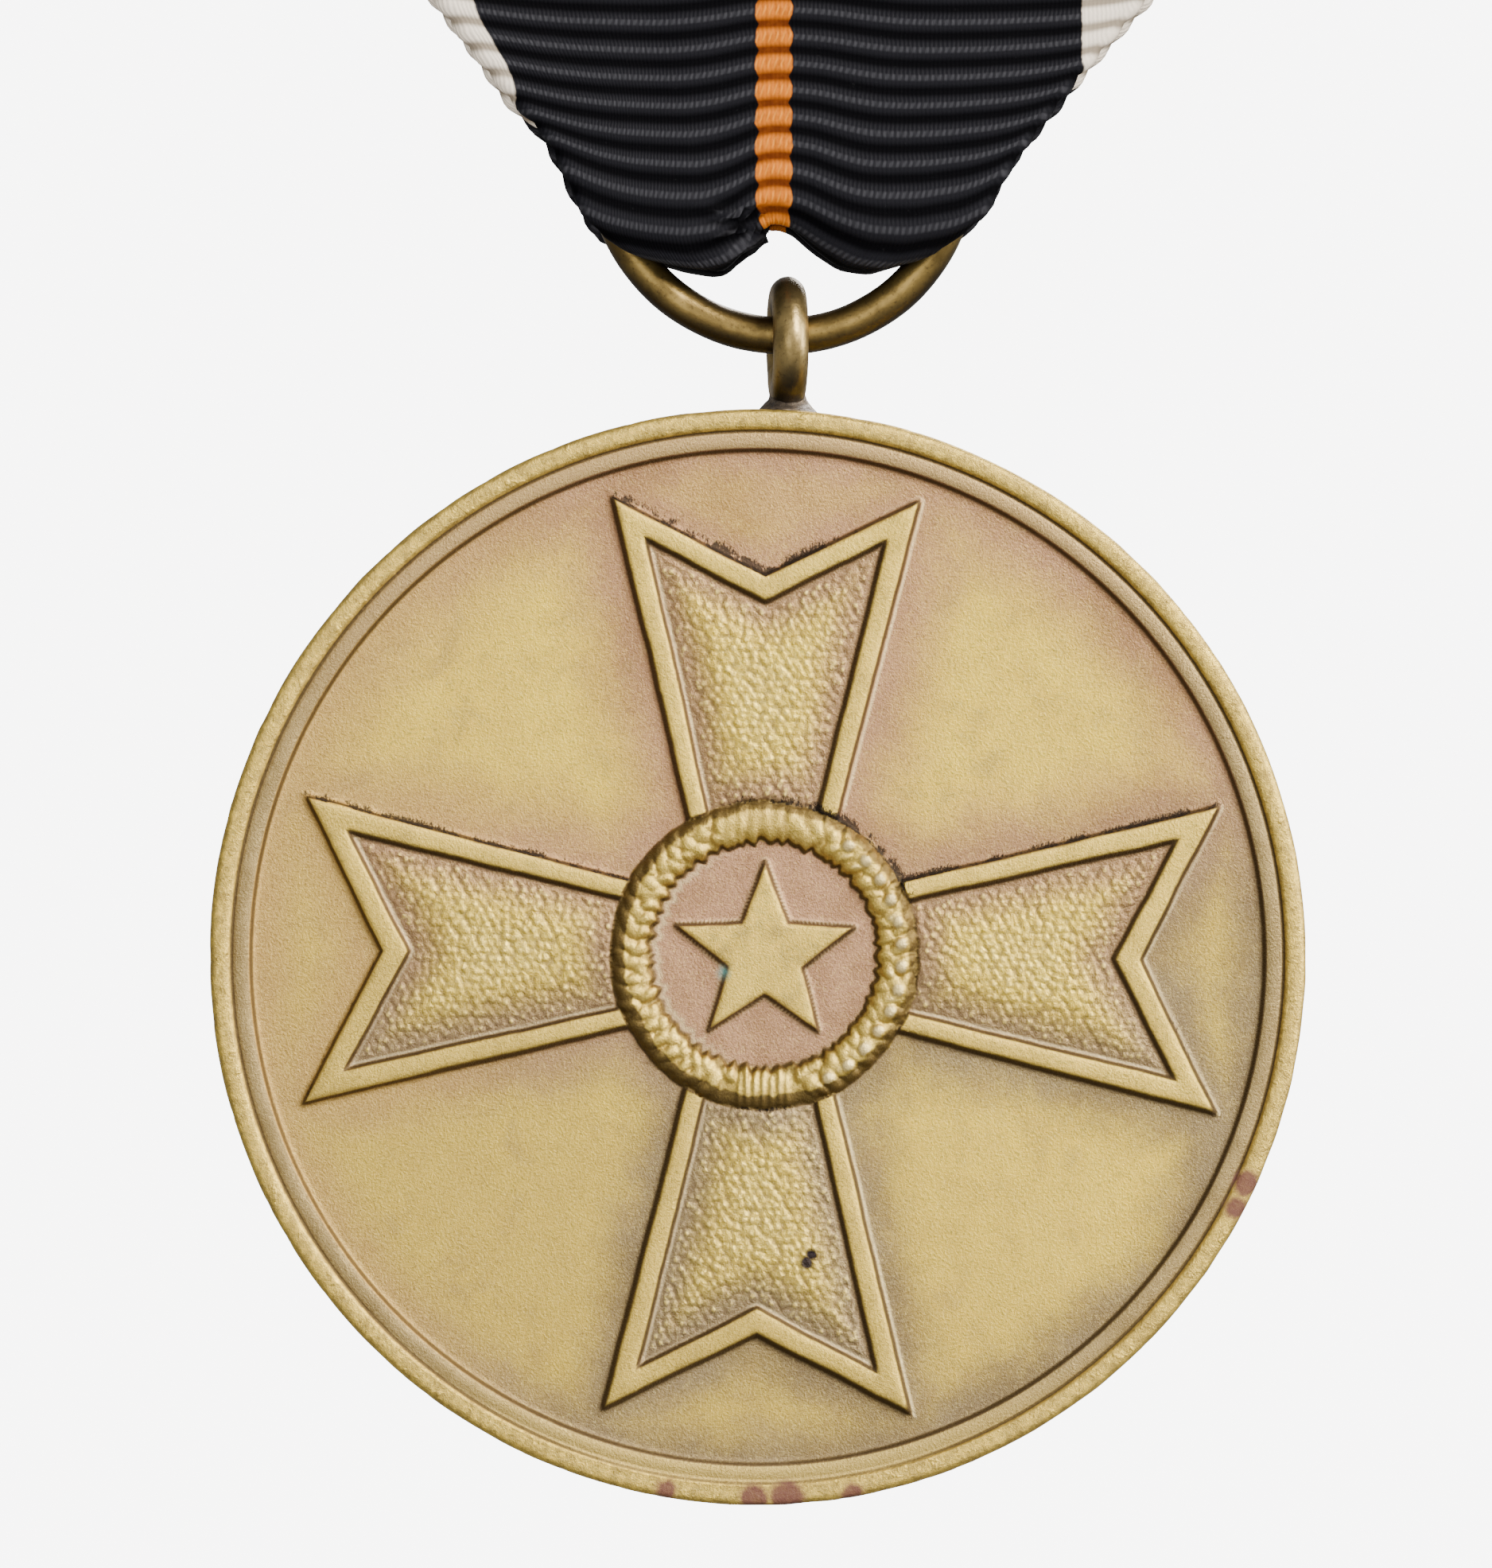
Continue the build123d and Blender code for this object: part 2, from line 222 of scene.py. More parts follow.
LEAVES = leaf_table()
BERRIES = [radians(-62 + i * 9.6) for i in range(13)]  # up the right side
BERRY_ROW, BERRY_R = 4.02, 0.24
# The ties at top and bottom: angle, half spread in degrees, cord pitch, cord depth, share of full height
TIES = ((90.0, 21.0, 0.36, 0.012, 0.7), (-90.0, 11.0, 0.24, 0.028, 1.0))
DRAWN_H = 0.42  # the full height that the heights in wreath_height are drawn for


def wreath_height(p, q):
    """The wreath's height at p, q from its own centre, its dome and the distance in from its hole."""
    r, a = np.hypot(p, q), np.arctan2(q, p)
    level = 0 * a
    scallop = 0.05 * np.sin(a * 40 + 2 * noise(a * 3, level, 3)) + 0.05 * noise(a * 16, level, 5)
    ragged = 0.045 * np.sin(a * 52 + 2 * noise(a * 6, level, 6)) + 0.07 * noise(a * 24, level + 4, 9)
    inner, outer = WREATH_IN + ragged, WREATH_OUT + 0.4 * scallop
    across = (r - (inner + outer) / 2) / ((outer - inner) / 2)
    dome = np.sqrt(np.clip(1 - np.abs(across) ** 2.4, 0, 1))
    height = 0.26 * dome
    for angle, radius, lean, length, width, tall in LEAVES:
        dx, dy = p - radius * cos(angle), q - radius * sin(angle)
        near = (np.abs(dx) < 0.7) & (np.abs(dy) < 0.7)
        direction = angle + lean
        along = dx * cos(direction) + dy * sin(direction)
        over = dy * cos(direction) - dx * sin(direction)
        taper = width * (1 - 0.25 * along / length)
        e = 1 - (along / length) ** 2 - (over / taper) ** 2
        leaf = 0.27 * dome + tall * np.clip(e, 0, 1) ** 0.7
        height = np.where(near & (e > 0), np.maximum(height, leaf), height)
    for angle in BERRIES:
        e = 1 - ((p - BERRY_ROW * cos(angle)) ** 2 + (q - BERRY_ROW * sin(angle)) ** 2) / BERRY_R ** 2
        height = np.maximum(height, np.where(e > 0, 0.27 + 0.16 * np.sqrt(np.clip(e, 0, 1)), 0))
    for centre, spread, pitch, depth, share in TIES:
        gap = np.abs((np.degrees(a) - centre + 180) % 360 - 180)
        tie = share * smooth(spread + 2.5, spread - 2.5, gap)
        cord = 0.35 * dome + depth * np.cos(np.radians(gap) * r / pitch * 2 * pi) * dome
        height = height * (1 - tie) + cord * tie
    return height * (WREATH_H / DRAWN_H), dome, r - inner


def pebbles(p, q):
    """Rounded grains from 0 between them to 1 on top, on a shaken hexagonal layout."""
    x, y = p / PEBBLE, q / (PEBBLE * HEX_ROW)
    row = np.floor(y)
    best = np.full(np.shape(p), np.inf)
    tall = np.ones(np.shape(p))
    for dj in (-1, 0, 1, 2):
        j = row + dj
        shift = 0.5 * np.mod(j, 2)
        column = np.floor(x - shift)
        for di in (-1, 0, 1, 2):
            i = column + di
            cx = i + shift + 0.27 * lattice(i, j, 51)
            cy = j + 0.27 * lattice(i, j, 52)
            away = np.hypot((x - cx) * 1.05, (y - cy) * 0.80)
            tall = np.where(away < best, 0.80 + 0.28 * lattice(i, j, 53), tall)
            best = np.minimum(best, away)
    return np.clip(1 - (best / 0.60) ** 2, 0, 1) * tall


def struck_by_hand(p, q):
    """The same places, shaken a little so that no line is quite straight."""
    shaken = p + 0.022 * noise(p * 0.9, q * 0.9, 1) + 0.008 * noise(p * 5, q * 5, 2)
    return shaken, q + 0.022 * noise(shaken * 0.9, q * 0.9, 11) + 0.008 * noise(shaken * 5, q * 5, 12)


def relief(p, q):
    """Height over the field, and the distances and masks that colour it."""
    p, q = struck_by_hand(p, q)
    cp, cq = to_cross(p, q)
    d_out, d_in = arm_distance(cp, cq, OUT_ARM), arm_distance(cp, cq, IN_ARM)
    d_star = star_distance(cp - WREATH_X, cq)
    wr = np.hypot(cp - WREATH_X, cq)
    in_hole = wr < WREATH_IN - 0.1
    # The cross: a border round each arm, and a crowned and grained panel within it
    rise = wall(d_out)
    grain = pebbles(cp, cq) * smooth(0.10, 0.30, -d_in) * smooth(WREATH_OUT, WREATH_OUT + 0.15, wr)
    panel = PANEL_H + CROWN_H * smooth(0, 1.5, -d_in) + GRAIN_H * grain
    sink = np.interp(d_in, -WALL_S[::-1], WALL_H[::-1])
    border = BORDER_H * (1 - 0.06 * noise(p * 0.8, q * 0.8, 4))
    height = np.where(d_in < WALL_REACH, panel + (border - panel) * sink, border) * rise
    # The wreath over it, and the star in the wreath's hole
    leaf_h, dome, from_inner = wreath_height(cp - WREATH_X, cq)
    height = np.where(dome > 0, np.maximum(leaf_h, 0.02), height)
    height = np.where((wr < WREATH_IN + 0.15) & (dome <= 0), 0.0, height)
    height = np.where(in_hole, np.maximum(height, STAR_H * wall(d_star)), height)
    # How far it is to the nearest step, and which places are rubbed tops
    foot = np.minimum(np.abs(wr - WREATH_OUT), np.where(d_in < 0, -d_in, np.abs(d_out)))
    foot = np.where(wr < WREATH_IN, np.minimum(WREATH_IN - wr, np.abs(d_star)), foot)
    foot = np.minimum(foot, np.abs(FIELD_R - np.hypot(p, q)))
    top = np.where(wr > WREATH_OUT, rise * (d_in > -0.02) * np.where(d_in < WALL_REACH, sink, 1), 0)
    top = np.where(in_hole, wall(d_star), top)
    top = np.where(dome > 0, smooth(0.22, 0.36, leaf_h), top)
    return {
        "height": height, "foot": foot, "top": top, "panel": ((d_in < 0) & (wr > WREATH_OUT)) * 1.0,
        "d_out": d_out, "d_in": d_in, "dome": dome, "wr": wr, "d_star": d_star, "grain": grain,
        "from_inner": from_inner,
    }


def offset_arm(arm, s):
    """The outline of an arm moved outwards by s, as points from one root round to the other."""
    root, tip, notch = arm
    side = Vector((tip[0] - root[0], tip[1] - root[1])).normalized()
    end = Vector((notch - tip[0], -tip[1])).normalized()
    side_normal, end_normal = Vector((-side.y, side.x)), Vector((-end.y, end.x))
    start = Vector(root) + side_normal * s
    corner = Vector(tip) + side_normal * s
    gap = Vector(tip) + end_normal * s - corner
    corner += side * ((gap.x * end.y - gap.y * end.x) / (side.x * end.y - side.y * end.x))
    deepest = Vector((notch + s / abs(end_normal.x), 0.0))
    return [start, corner, deepest] + [Vector((v.x, -v.y)) for v in (corner, start)]


def dense(points, step, closed=False):
    """Points every step along a polyline."""
    points = [tuple(v) for v in points]
    if closed:
        points = points + points[:1]
    out = []
    for (ax, ay), (bx, by) in zip(points, points[1:]):
        n = max(1, int(round(np.hypot(bx - ax, by - ay) / step)))
        out += [(ax + (bx - ax) * i / n, ay + (by - ay) * i / n) for i in range(n)]
    if not closed:
        out.append(points[-1])
    return out


def hex_points(spacing, keep, half):
    """A slightly shaken hexagonal grid over a square, cut to where keep(x, y) holds."""
    nx = int(half * 2 / spacing) + 2
    ny = int(half * 2 / (spacing * HEX_ROW)) + 2
    ix, iy = np.meshgrid(np.arange(nx), np.arange(ny))
    x = (ix + 0.5 * (iy % 2)) * spacing - half
    y = iy * spacing * HEX_ROW - half
    x = (x + rng.uniform(-0.12, 0.12, x.shape) * spacing).ravel()
    y = (y + rng.uniform(-0.12, 0.12, y.shape) * spacing).ravel()
    ok = keep(x, y)
    return np.stack([x[ok], y[ok]], 1)


# ---- The disc ------------------------------------------------------------------------------------
RIM_SEGMENTS = 640
RIM_START = 14.45
# The front rim from the field out: radius and height over the middle plane
RIM_PROFILE = [
    (14.58, FIELD), (14.68, FIELD + 0.005), (14.74, FIELD + 0.03), (14.79, FIELD + 0.10),
    (14.83, FIELD + 0.175), (14.88, FIELD + 0.20), (15.05, FIELD + 0.205), (15.2, FIELD + 0.20),
    (15.27, FIELD + 0.185), (15.32, FIELD + 0.155), (15.36, FIELD + 0.165), (15.4, FIELD + 0.23),
    (15.44, FIELD + 0.285), (15.5, FIELD + 0.312), (15.62, 1.3), (15.78, 1.3), (15.86, 1.285),
    (15.93, 1.25), (15.975, 1.18), (16.0, 1.07),
]
# The edge and the plain reverse, down to near its middle
BACK_PROFILE = [
    (16.0, 0.55), (16.0, 0.0), (16.0, -0.55), (16.0, -1.07), (15.975, -1.18), (15.93, -1.25),
    (15.86, -1.285), (15.75, -1.3), (15.5, -1.3), (15.43, -1.27), (15.36, -1.19), (15.28, -1.16),
    (15.1, -1.16), (14.9, -1.16), (14.82, -1.10), (14.74, -1.0), (14.6, -0.98), (13.5, -0.985),
    (12, -0.99), (10, -0.995), (8, -1.0), (6, -1.0), (4, -1.0), (2, -1.0),
]


def guide_lines():
    """Points along every step of the relief and the edges that the mesh has to follow."""
    coords, edges = [], []

    def add_line(points, closed=False):
        start, n = len(coords), len(points)
        coords.extend(points)
        edges.extend((start + i, start + (i + 1) % n) for i in range(n if closed else n - 1))

    angles = [2 * pi * i / RIM_SEGMENTS for i in range(RIM_SEGMENTS)]
    add_line([(RIM_START * cos(a), RIM_START * sin(a)) for a in angles], closed=True)
    for s in WALL_S:
        for line in (offset_arm(OUT_ARM, s), offset_arm(IN_ARM, -s)):
            fine = dense(line, 0.2)
            for k in range(4):
                turned = [from_cross(x, y, TURN + k * pi / 2) for x, y in fine]
                add_line([t for t in turned if wreath_distance(*t) > WREATH_OUT + 0.12
                          and sqrt(t[0] ** 2 + t[1] ** 2) < RIM_START - 0.08])
    for s in WALL_S:
        star = [from_cross(x + WREATH_X, y) for x, y in dense(star_points(s * 0.8), 0.12, closed=True)]
        coords.extend(t for t in star if wreath_distance(*t) < WREATH_IN - 0.25)
    return np.array(coords), edges


def in_field(x, y):
    cp, cq = to_cross(x, y)
    near_step = np.abs(arm_distance(cp, cq, OUT_ARM) + 0.005) < 0.26
    in_panel = arm_distance(cp, cq, IN_ARM) < 0.25
    inside = (np.hypot(x, y) < RIM_START - 0.12) & (wreath_distance(x, y) > WREATH_OUT + 0.3)
    return inside & ~near_step & ~in_panel


def in_panels(x, y):
    return (arm_distance(*to_cross(x, y), IN_ARM) < -0.25) & (wreath_distance(x, y) > WREATH_OUT + 0.3)


def in_wreath(x, y):
    w = wreath_distance(x, y)
    return (w < WREATH_OUT + 0.3) & (w > WREATH_IN - 0.3)


def in_pan(x, y):
    p, q = to_cross(x, y)
    clear = np.abs(star_distance(p - WREATH_X, q) - 0.02) > 0.12
    return clear & (wreath_distance(x, y) < WREATH_IN - 0.3)


# How far apart the mesh's points lie in each region, and how far the region reaches
REGIONS = ((0.2, in_field, RIM_START), (0.062, in_panels, RIM_START), (0.052, in_wreath, 5.1),
           (0.12, in_pan, 3.6))


def face_shades(x, y, data):
    """The struck face's colour masks at each place, by name, with painted shade and painted highlights among
    them.
    """
    d_out, d_in, d_star, wr = (data[key] for key in ("d_out", "d_in", "d_star", "wr"))
    dome, height, from_inner = (data[key] for key in ("dome", "height", "from_inner"))
    past_wreath = wr > WREATH_OUT
    # Which way the nearest arm's step faces: positive towards the lower left, away from the light
    eps = 0.02
    gx = (relief(x + eps, y)["d_out"] - relief(x - eps, y)["d_out"]) / (2 * eps)
    gy = (relief(x, y + eps)["d_out"] - relief(x, y - eps)["d_out"]) / (2 * eps)
    turned = np.clip(-(gx * 0.75 + gy * 0.66), -1, 1)
    angle = np.degrees(np.arctan2(y - CROSS_Y, x - CROSS_X - WREATH_X))
    wx, wy = np.cos(np.radians(angle)), np.sin(np.radians(angle))
    # How far a place lies to the lower left of the wreath, away from the light, for painted shade
    away_from_light = smooth(-0.5, 0.9, -(wx * 0.72 + wy * 0.69))
    # Black oxide over the arms, round the wreath's upper right and a little below it
    upper_arm = y > 8
    ledge = np.clip(gy * 1.5 - 0.1, 0, 1) * (d_out > -0.02)
    soot = ledge * smooth(np.where(upper_arm, 0.62, 0.42), 0.0, d_out) * (wr > WREATH_OUT - 0.1)
    soot = soot * np.where(upper_arm, 1.22 - 0.16 * np.maximum(x, 0), 1.0)
    beside = wr > WREATH_OUT - 0.06
    around = smooth(0.55, 0.0, wr - WREATH_OUT) * beside * smooth(5, 30, angle) * smooth(150, 62, angle)
    below = smooth(0.25, 0.0, wr - WREATH_OUT) * beside * smooth(28, 5, np.abs(angle + 90))
    soot = np.clip(np.maximum.reduce([soot, around, 0.8 * below]), 0, 1)
    # Brown patina lies in the corner of each step, widened by painted shade below and to the left of each
    # step, away from the light
    broad = 0.058 + 0.036 * smooth(-0.5, 0.7, turned)
    broad = broad * (1 - 0.40 * smooth(-9.0, -10.5, x))
    broad_in = 0.054 + 0.036 * smooth(-0.5, 0.7, -turned)
    # The wreath's steep outer flank is brown all round, with painted shade darkest at the lower left
    ragged = 0.05 * noise(angle * 0.35, angle * 0, 61) + 0.03 * noise(angle * 0.9, angle * 0, 62)
    flank = smooth(4.10, 4.28, wr + ragged + 0.10 * away_from_light) * smooth(4.60, 4.48, wr)
    patina_and_painted_shade = np.maximum.reduce([
        bell(d_out, 0.02, broad) * past_wreath,
        bell(d_in, -0.02, broad_in) * past_wreath,
        flank * (0.74 + 0.26 * away_from_light),
        0.95 * bell(from_inner, 0.01, 0.085) * (wr < 3.9),
        bell(d_star, 0.03, 0.07) * (wr < WREATH_IN),
        # Painted shade in the valleys between the leaves, more at the lower left
        smooth(0.29, 0.20, height) * (dome > 0.35) * (0.25 + 0.4 * away_from_light),
    ])
    # Painted highlight on the fillet at the foot of the sides facing the light, round the star, in the hollow
    # left of the star and on the leaves' tops, most at the right
    painted_highlight = bell(d_out, 0.125, 0.035) * smooth(0.1, -0.55, turned)
    inner_painted_highlight = 0.6 * bell(d_in, -0.125, 0.03) * smooth(0.1, 0.55, turned)
    painted_highlight = np.where(wr > WREATH_OUT + 0.1, np.maximum(painted_highlight, inner_painted_highlight), 0)
    leaf_painted_highlight = smooth(0.325, 0.39, height) * (dome > 0) * (wr < 4.15)
    painted_highlight = np.maximum.reduce([
        painted_highlight * (1 - np.clip(soot * 1.5, 0, 1)),
        0.6 * bell(d_star, 0.11, 0.03) * (wr < WREATH_IN - 0.3),
        0.8 * bell(from_inner, -0.17, 0.08) * smooth(0.15, 0.85, -wx) * (wr < WREATH_IN + 0.1),
        0.9 * leaf_painted_highlight * (0.25 + 0.75 * smooth(-0.5, 0.8, wx)),
    ])
    return {
        "foot": data["foot"], "top": data["top"], "panel": data["panel"], "grain": data["grain"],
        "soot": soot, "wall": np.clip(patina_and_painted_shade, 0, 1), "painted_highlight": painted_highlight, "rim": np.zeros(len(x)),
        "leaf": (dome > 0) * 1.0, "pan": smooth(WREATH_IN + 0.1, WREATH_IN - 0.2, wr),
    }


def build_disc(material):
    """The struck disc as one closed mesh, in the shared frame."""
    lined, edges = guide_lines()
    places = np.concatenate([lined] + [hex_points(*region) for region in REGIONS])
    verts, _, tris, *_ = delaunay_2d_cdt([Vector(v) for v in places], edges, [], 0, 1e-5)
    x, y = np.array([tuple(v) for v in verts]).T
    data = relief(x, y)
    radius = np.hypot(x, y)
    height = FIELD + data["height"] * smooth(RIM_START, RIM_START - 0.1, radius) ** 0.3
    height = height + 0.006 * noise(x * 0.35, y * 0.35, 21)
    shades = {key: [values] for key, values in face_shades(x, y, data).items()}
    previous = [0] * RIM_SEGMENTS
    for i in np.nonzero(radius > RIM_START - 1e-4)[0]:
        share = atan2(y[i], x[i]) / (2 * pi)
        previous[round(share * RIM_SEGMENTS) % RIM_SEGMENTS] = int(i)
        height[i] = FIELD
    points = list(zip(x, y, height))
    faces = []
    for a, b, c in tris:
        area = (x[b] - x[a]) * (y[c] - y[a]) - (y[b] - y[a]) * (x[c] - x[a])
        faces.append((a, b, c) if area > 0 else (c, b, a))

    def add_ring(r, h, previous, **ring_shades):
        """A ring of points at radius r and height h, joined to the one before it."""
        start = len(points)
        for i in range(RIM_SEGMENTS):
            a = 2 * pi * i / RIM_SEGMENTS
            lift, worn = 0.0, 0.0
            if r > 15.9:  # the edge is a little uneven and nicked
                worn = 0.012 * (1 + noise_at(a * 21.0, h * 3 + 9.0, 5))
                worn += 0.03 * max(0.0, noise_at(a * 46.0, 2.0, 8) - 0.55)
            if 15.3 < r < 15.48 and h > 0:  # the groove is struck shallower at the bottom
                lift = 0.09 * max(0.0, cos(a + pi / 2 + 0.1)) ** 6
            points.append(((r - worn) * cos(a), (r - worn) * sin(a), min(h + lift, HALF_THICK)))
            j = (i + 1) % RIM_SEGMENTS
            faces.append((previous[i], start + i, start + j, previous[j]))
        for key, columns in shades.items():
            columns.append(np.full(RIM_SEGMENTS, ring_shades.get(key, 0.0)))
        return range(start, start + RIM_SEGMENTS)

    for r, h in RIM_PROFILE:
        dark = min(bell(r, GROOVE_R, 0.055) + bell(r, 14.78, 0.060), 1.0)
        kind = 0.0 if r < STEP_R else 0.5 if r < LIP_R else 1.0
        previous = add_ring(r, h, previous, foot=abs(FIELD_R - r), rim=kind, wall=dark)
    for r, h in BACK_PROFILE:
        face = h < -0.9
        dark = min(bell(r, LIP_R, 0.06) + bell(r, FIELD_R, 0.06), 1.0) if face else 0.0
        foot = abs(FIELD_R - r) if face else 1.0
        previous = add_ring(r, h, previous, foot=foot, rim=float(r > STEP_R), wall=dark)
    centre = len(points)
    points.append((0, 0, BACK_PROFILE[-1][1]))
    for key, columns in shades.items():
        columns.append(np.full(1, 9.0 if key == "foot" else 0.0))
    faces += [(previous[i], centre, previous[(i + 1) % RIM_SEGMENTS]) for i in range(RIM_SEGMENTS)]
    x, y, height = np.array(points).T
    world = np.stack([DISC_X + x, CHAIN_Y - height, DISC_Z + y], 1) * MM
    attributes = {key: np.concatenate(columns) for key, columns in shades.items()}
    return new_mesh("medal_relief", world, faces, material, attributes)


# ---- Ribbon: heights z are over the ring's centre, or over the rod in ribbon_path -----------------
RIB = 0.77  # pitch of the ribs
RIB_H, CREASE_H, ARCH_H = 0.115, 0.20, 0.40  # depth of ribs and creases, and how far the fold arches up
CLOTH = 0.32  # thickness
HALF_W = 15.0
STRIPE_X, BANDS_X = 0.02, 0.1  # middle of the orange stripe, and of the white bands
THREAD, TWILL = 0.125, 0.19  # pitch of the warp threads, and of their slanting sheen
LEFT_ROLL, RIGHT_ROLL = 0.4, 0.2  # radius of each turned-in edge
ROD_LOOP = 1.24  # radius of the cloth's middle round the rod
FOLD_DROP, FOLD_DEPTH, FOLD_R = 1.98, 1.8, 1.15  # the fold under the ring's centre
MIDDLE = np.linspace(-1, 1, 61)  # the points between the two turned-in edges

# Half width that shows on each side: height, width
LEFT_SHAPE = ((-3.0, 4.75), (-1.9, 5.25), (0.36, 6.63), (1.68, 7.73), (4.71, 9.94), (11.4, 15.0),
              (12.2, 15.6))
RIGHT_SHAPE = ((-3.0, 5.0), (-1.97, 5.66), (-0.39, 6.75), (1.36, 8.08), (2.38, 8.87), (4.71, 10.9),
               (10.6, 15.0), (11.4, 15.6))
# How a rib sags at a share of the half width: high up, and near the fold, where the lobes sit further apart
SAG_HIGH = ((-1.25, -1.1), (-1.0, -0.42), (-0.88, 0.10), (-0.76, 0.52), (-0.62, 0.82), (-0.46, 0.96),
            (-0.33, 1.0), (-0.23, 0.80), (-0.15, 0.50), (-0.08, 0.16), (-0.01, 0.0), (0.06, 0.02),
            (0.16, 0.22), (0.27, 0.66), (0.36, 0.93), (0.46, 1.0), (0.62, 0.93), (0.80, 0.66),
            (0.92, 0.30), (1.0, -0.15), (1.25, -0.9))
SAG_LOW = ((-1.25, -0.30), (-1.0, 0.45), (-0.86, 0.76), (-0.66, 0.93), (-0.46, 1.02), (-0.32, 0.88),
           (-0.20, 0.46), (-0.11, 0.10), (-0.04, 0.0), (0.04, 0.0), (0.14, 0.13), (0.30, 0.56),
           (0.47, 0.91), (0.63, 1.0), (0.85, 0.80), (1.0, 0.36), (1.25, -0.35))
SAG_DEPTH = ((-2.3, 1.50), (-1.2, 1.07), (0, 0.72), (1.5, 0.52), (4.7, 0.36), (9, 0.16), (13, 0.0))


def along_curve(x, curve):
    """The height at x of a curve given as points."""
    xs, ys = zip(*curve)
    return np.interp(x, xs, ys)


def half_width(z, side):
    """The visible half width at nominal height z: side -1 left, 1 right."""
    return along_curve(z, LEFT_SHAPE if side < 0 else RIGHT_SHAPE)


def sag(u, z):
    """How far a rib hangs below its nominal height z, at u across."""
    share = np.clip(u / np.where(u < 0, half_width(z, -1), half_width(z, 1)), -1.2, 1.2)
    lowness = smooth(0.6, -1.9, z)
    total = np.zeros(np.shape(share))
    for shift, weight in ((-0.03, 0.25), (0.0, 0.5), (0.03, 0.25)):
        high = along_curve(share + shift, SAG_HIGH)
        total += weight * (high + (along_curve(share + shift, SAG_LOW) - high) * lowness)
    return along_curve(z, SAG_DEPTH) * total


def gather(z):
    """Share by which the left half is drawn together at height z."""
    return 0.15 * smooth(5.0, 1.6, z)


def ribbon_path():
    """Points round the loop: distance from the chain's plane (front negative) and height over the rod."""
    start = [(0.62, -8.2), (0.58, -6.2), (0.75, -4.4), (1.02, -2.4), (1.2, -0.8)]
    over = [(ROD_LOOP * cos(pi * i / 24), ROD_LOOP * sin(pi * i / 24)) for i in range(25)]
    down = [(-1.2, -0.8), (-0.95, -2.4), (-0.6, -4.2), (-0.33, -6.0), (-0.29, -9), (-0.29, -16),
            (-0.30, -22), (-0.45, -24.5), (-0.95, -27), (-1.5, -29.2), (-1.75, -31), (-1.79, -33),
            (-FOLD_DEPTH, RING_Z), (-FOLD_DEPTH, RING_Z - 0.8)]
    low = RING_Z - FOLD_DROP
    quarter = [pi / 2 * i / 12 for i in range(13)]
    fold = [(-FOLD_DEPTH + FOLD_R * (1 - cos(a)), low + FOLD_R * (1 - sin(a))) for a in quarter]
    back = [(-d, z) for d, z in reversed(down + fold)]
    return start + over + down + fold + back[1:]


def resample(points, step):
    """The same path rounded off, with a point every step along it, and how far along each point is."""
    points = np.array(points, float)
    keep = np.concatenate([[True], np.hypot(*np.diff(points, axis=0).T) > 1e-6])
    points = points[keep]
    length = np.concatenate([[0], np.cumsum(np.hypot(*np.diff(points, axis=0).T))])
    fine = np.arange(0, length[-1], 0.05)
    points = np.stack([np.interp(fine, length, column) for column in points.T], 1)
    for _ in range(3):
        padded = np.concatenate([points[:1]] * 5 + [points] + [points[-1:]] * 5)
        points = np.stack([np.convolve(column, np.ones(11) / 11, "valid") for column in padded.T], 1)
    length = np.concatenate([[0], np.cumsum(np.hypot(*np.diff(points, axis=0).T))])
    at = np.arange(0, length[-1], step)
    return np.stack([np.interp(at, length, column) for column in points.T], 1), at


def cloth_row(z):
    """One row of cloth: place on the flat ribbon, place across, and depth behind its rolled edges."""
    sides = []
    for side, r in ((-1, LEFT_ROLL), (1, RIGHT_ROLL)):
        w = float(half_width(z, side))
        if side < 0:
            w /= 1 - gather(z)
        flat = min(w - r, HALF_W - 0.9)
        roll = min(pi * r, (HALF_W - flat) * 0.6)
        rest = HALF_W - flat - roll
        marks = np.concatenate([flat + roll * np.arange(1, 9) / 8, flat + roll + rest * np.arange(1, 6) / 5])
        sides.append((w, r, flat, marks))
    (left_w, left_r, left_flat, left_marks), (right_w, right_r, right_flat, right_marks) = sides
    u = np.concatenate([-left_marks[::-1], MIDDLE * np.where(MIDDLE < 0, left_flat, right_flat), right_marks])
    w, r = np.where(u < 0, left_w, right_w), np.where(u < 0, left_r, right_r)
    over = np.abs(u) - (w - r)
    theta = np.clip(over / r, 0, pi)
    x = np.where(over <= 0, np.abs(u), w - r + r * np.sin(theta) - np.maximum(over - pi * r, 0))
    x = np.where(u < 0, -x * (1 - gather(z) * smooth(1.5, 6.5, x)), x)
    return u, x, np.where(over <= 0, 0, r - r * np.cos(theta))


def left_creases(x, z):
    """Small creases that run up from the left lobe to the notch, from -1 to 1."""
    from_notch_x, from_notch_z = x - 0.05, z + 1.75
    angle = np.arctan2(from_notch_z, from_notch_x)
    reach = np.hypot(from_notch_x, from_notch_z)
    pleat = np.sin(angle * 17) * smooth(0.10, 0.5, reach) * smooth(2.5, 1.2, reach)
    return pleat * smooth(-0.05, -0.35, x) * smooth(-1.0, -1.7, z)


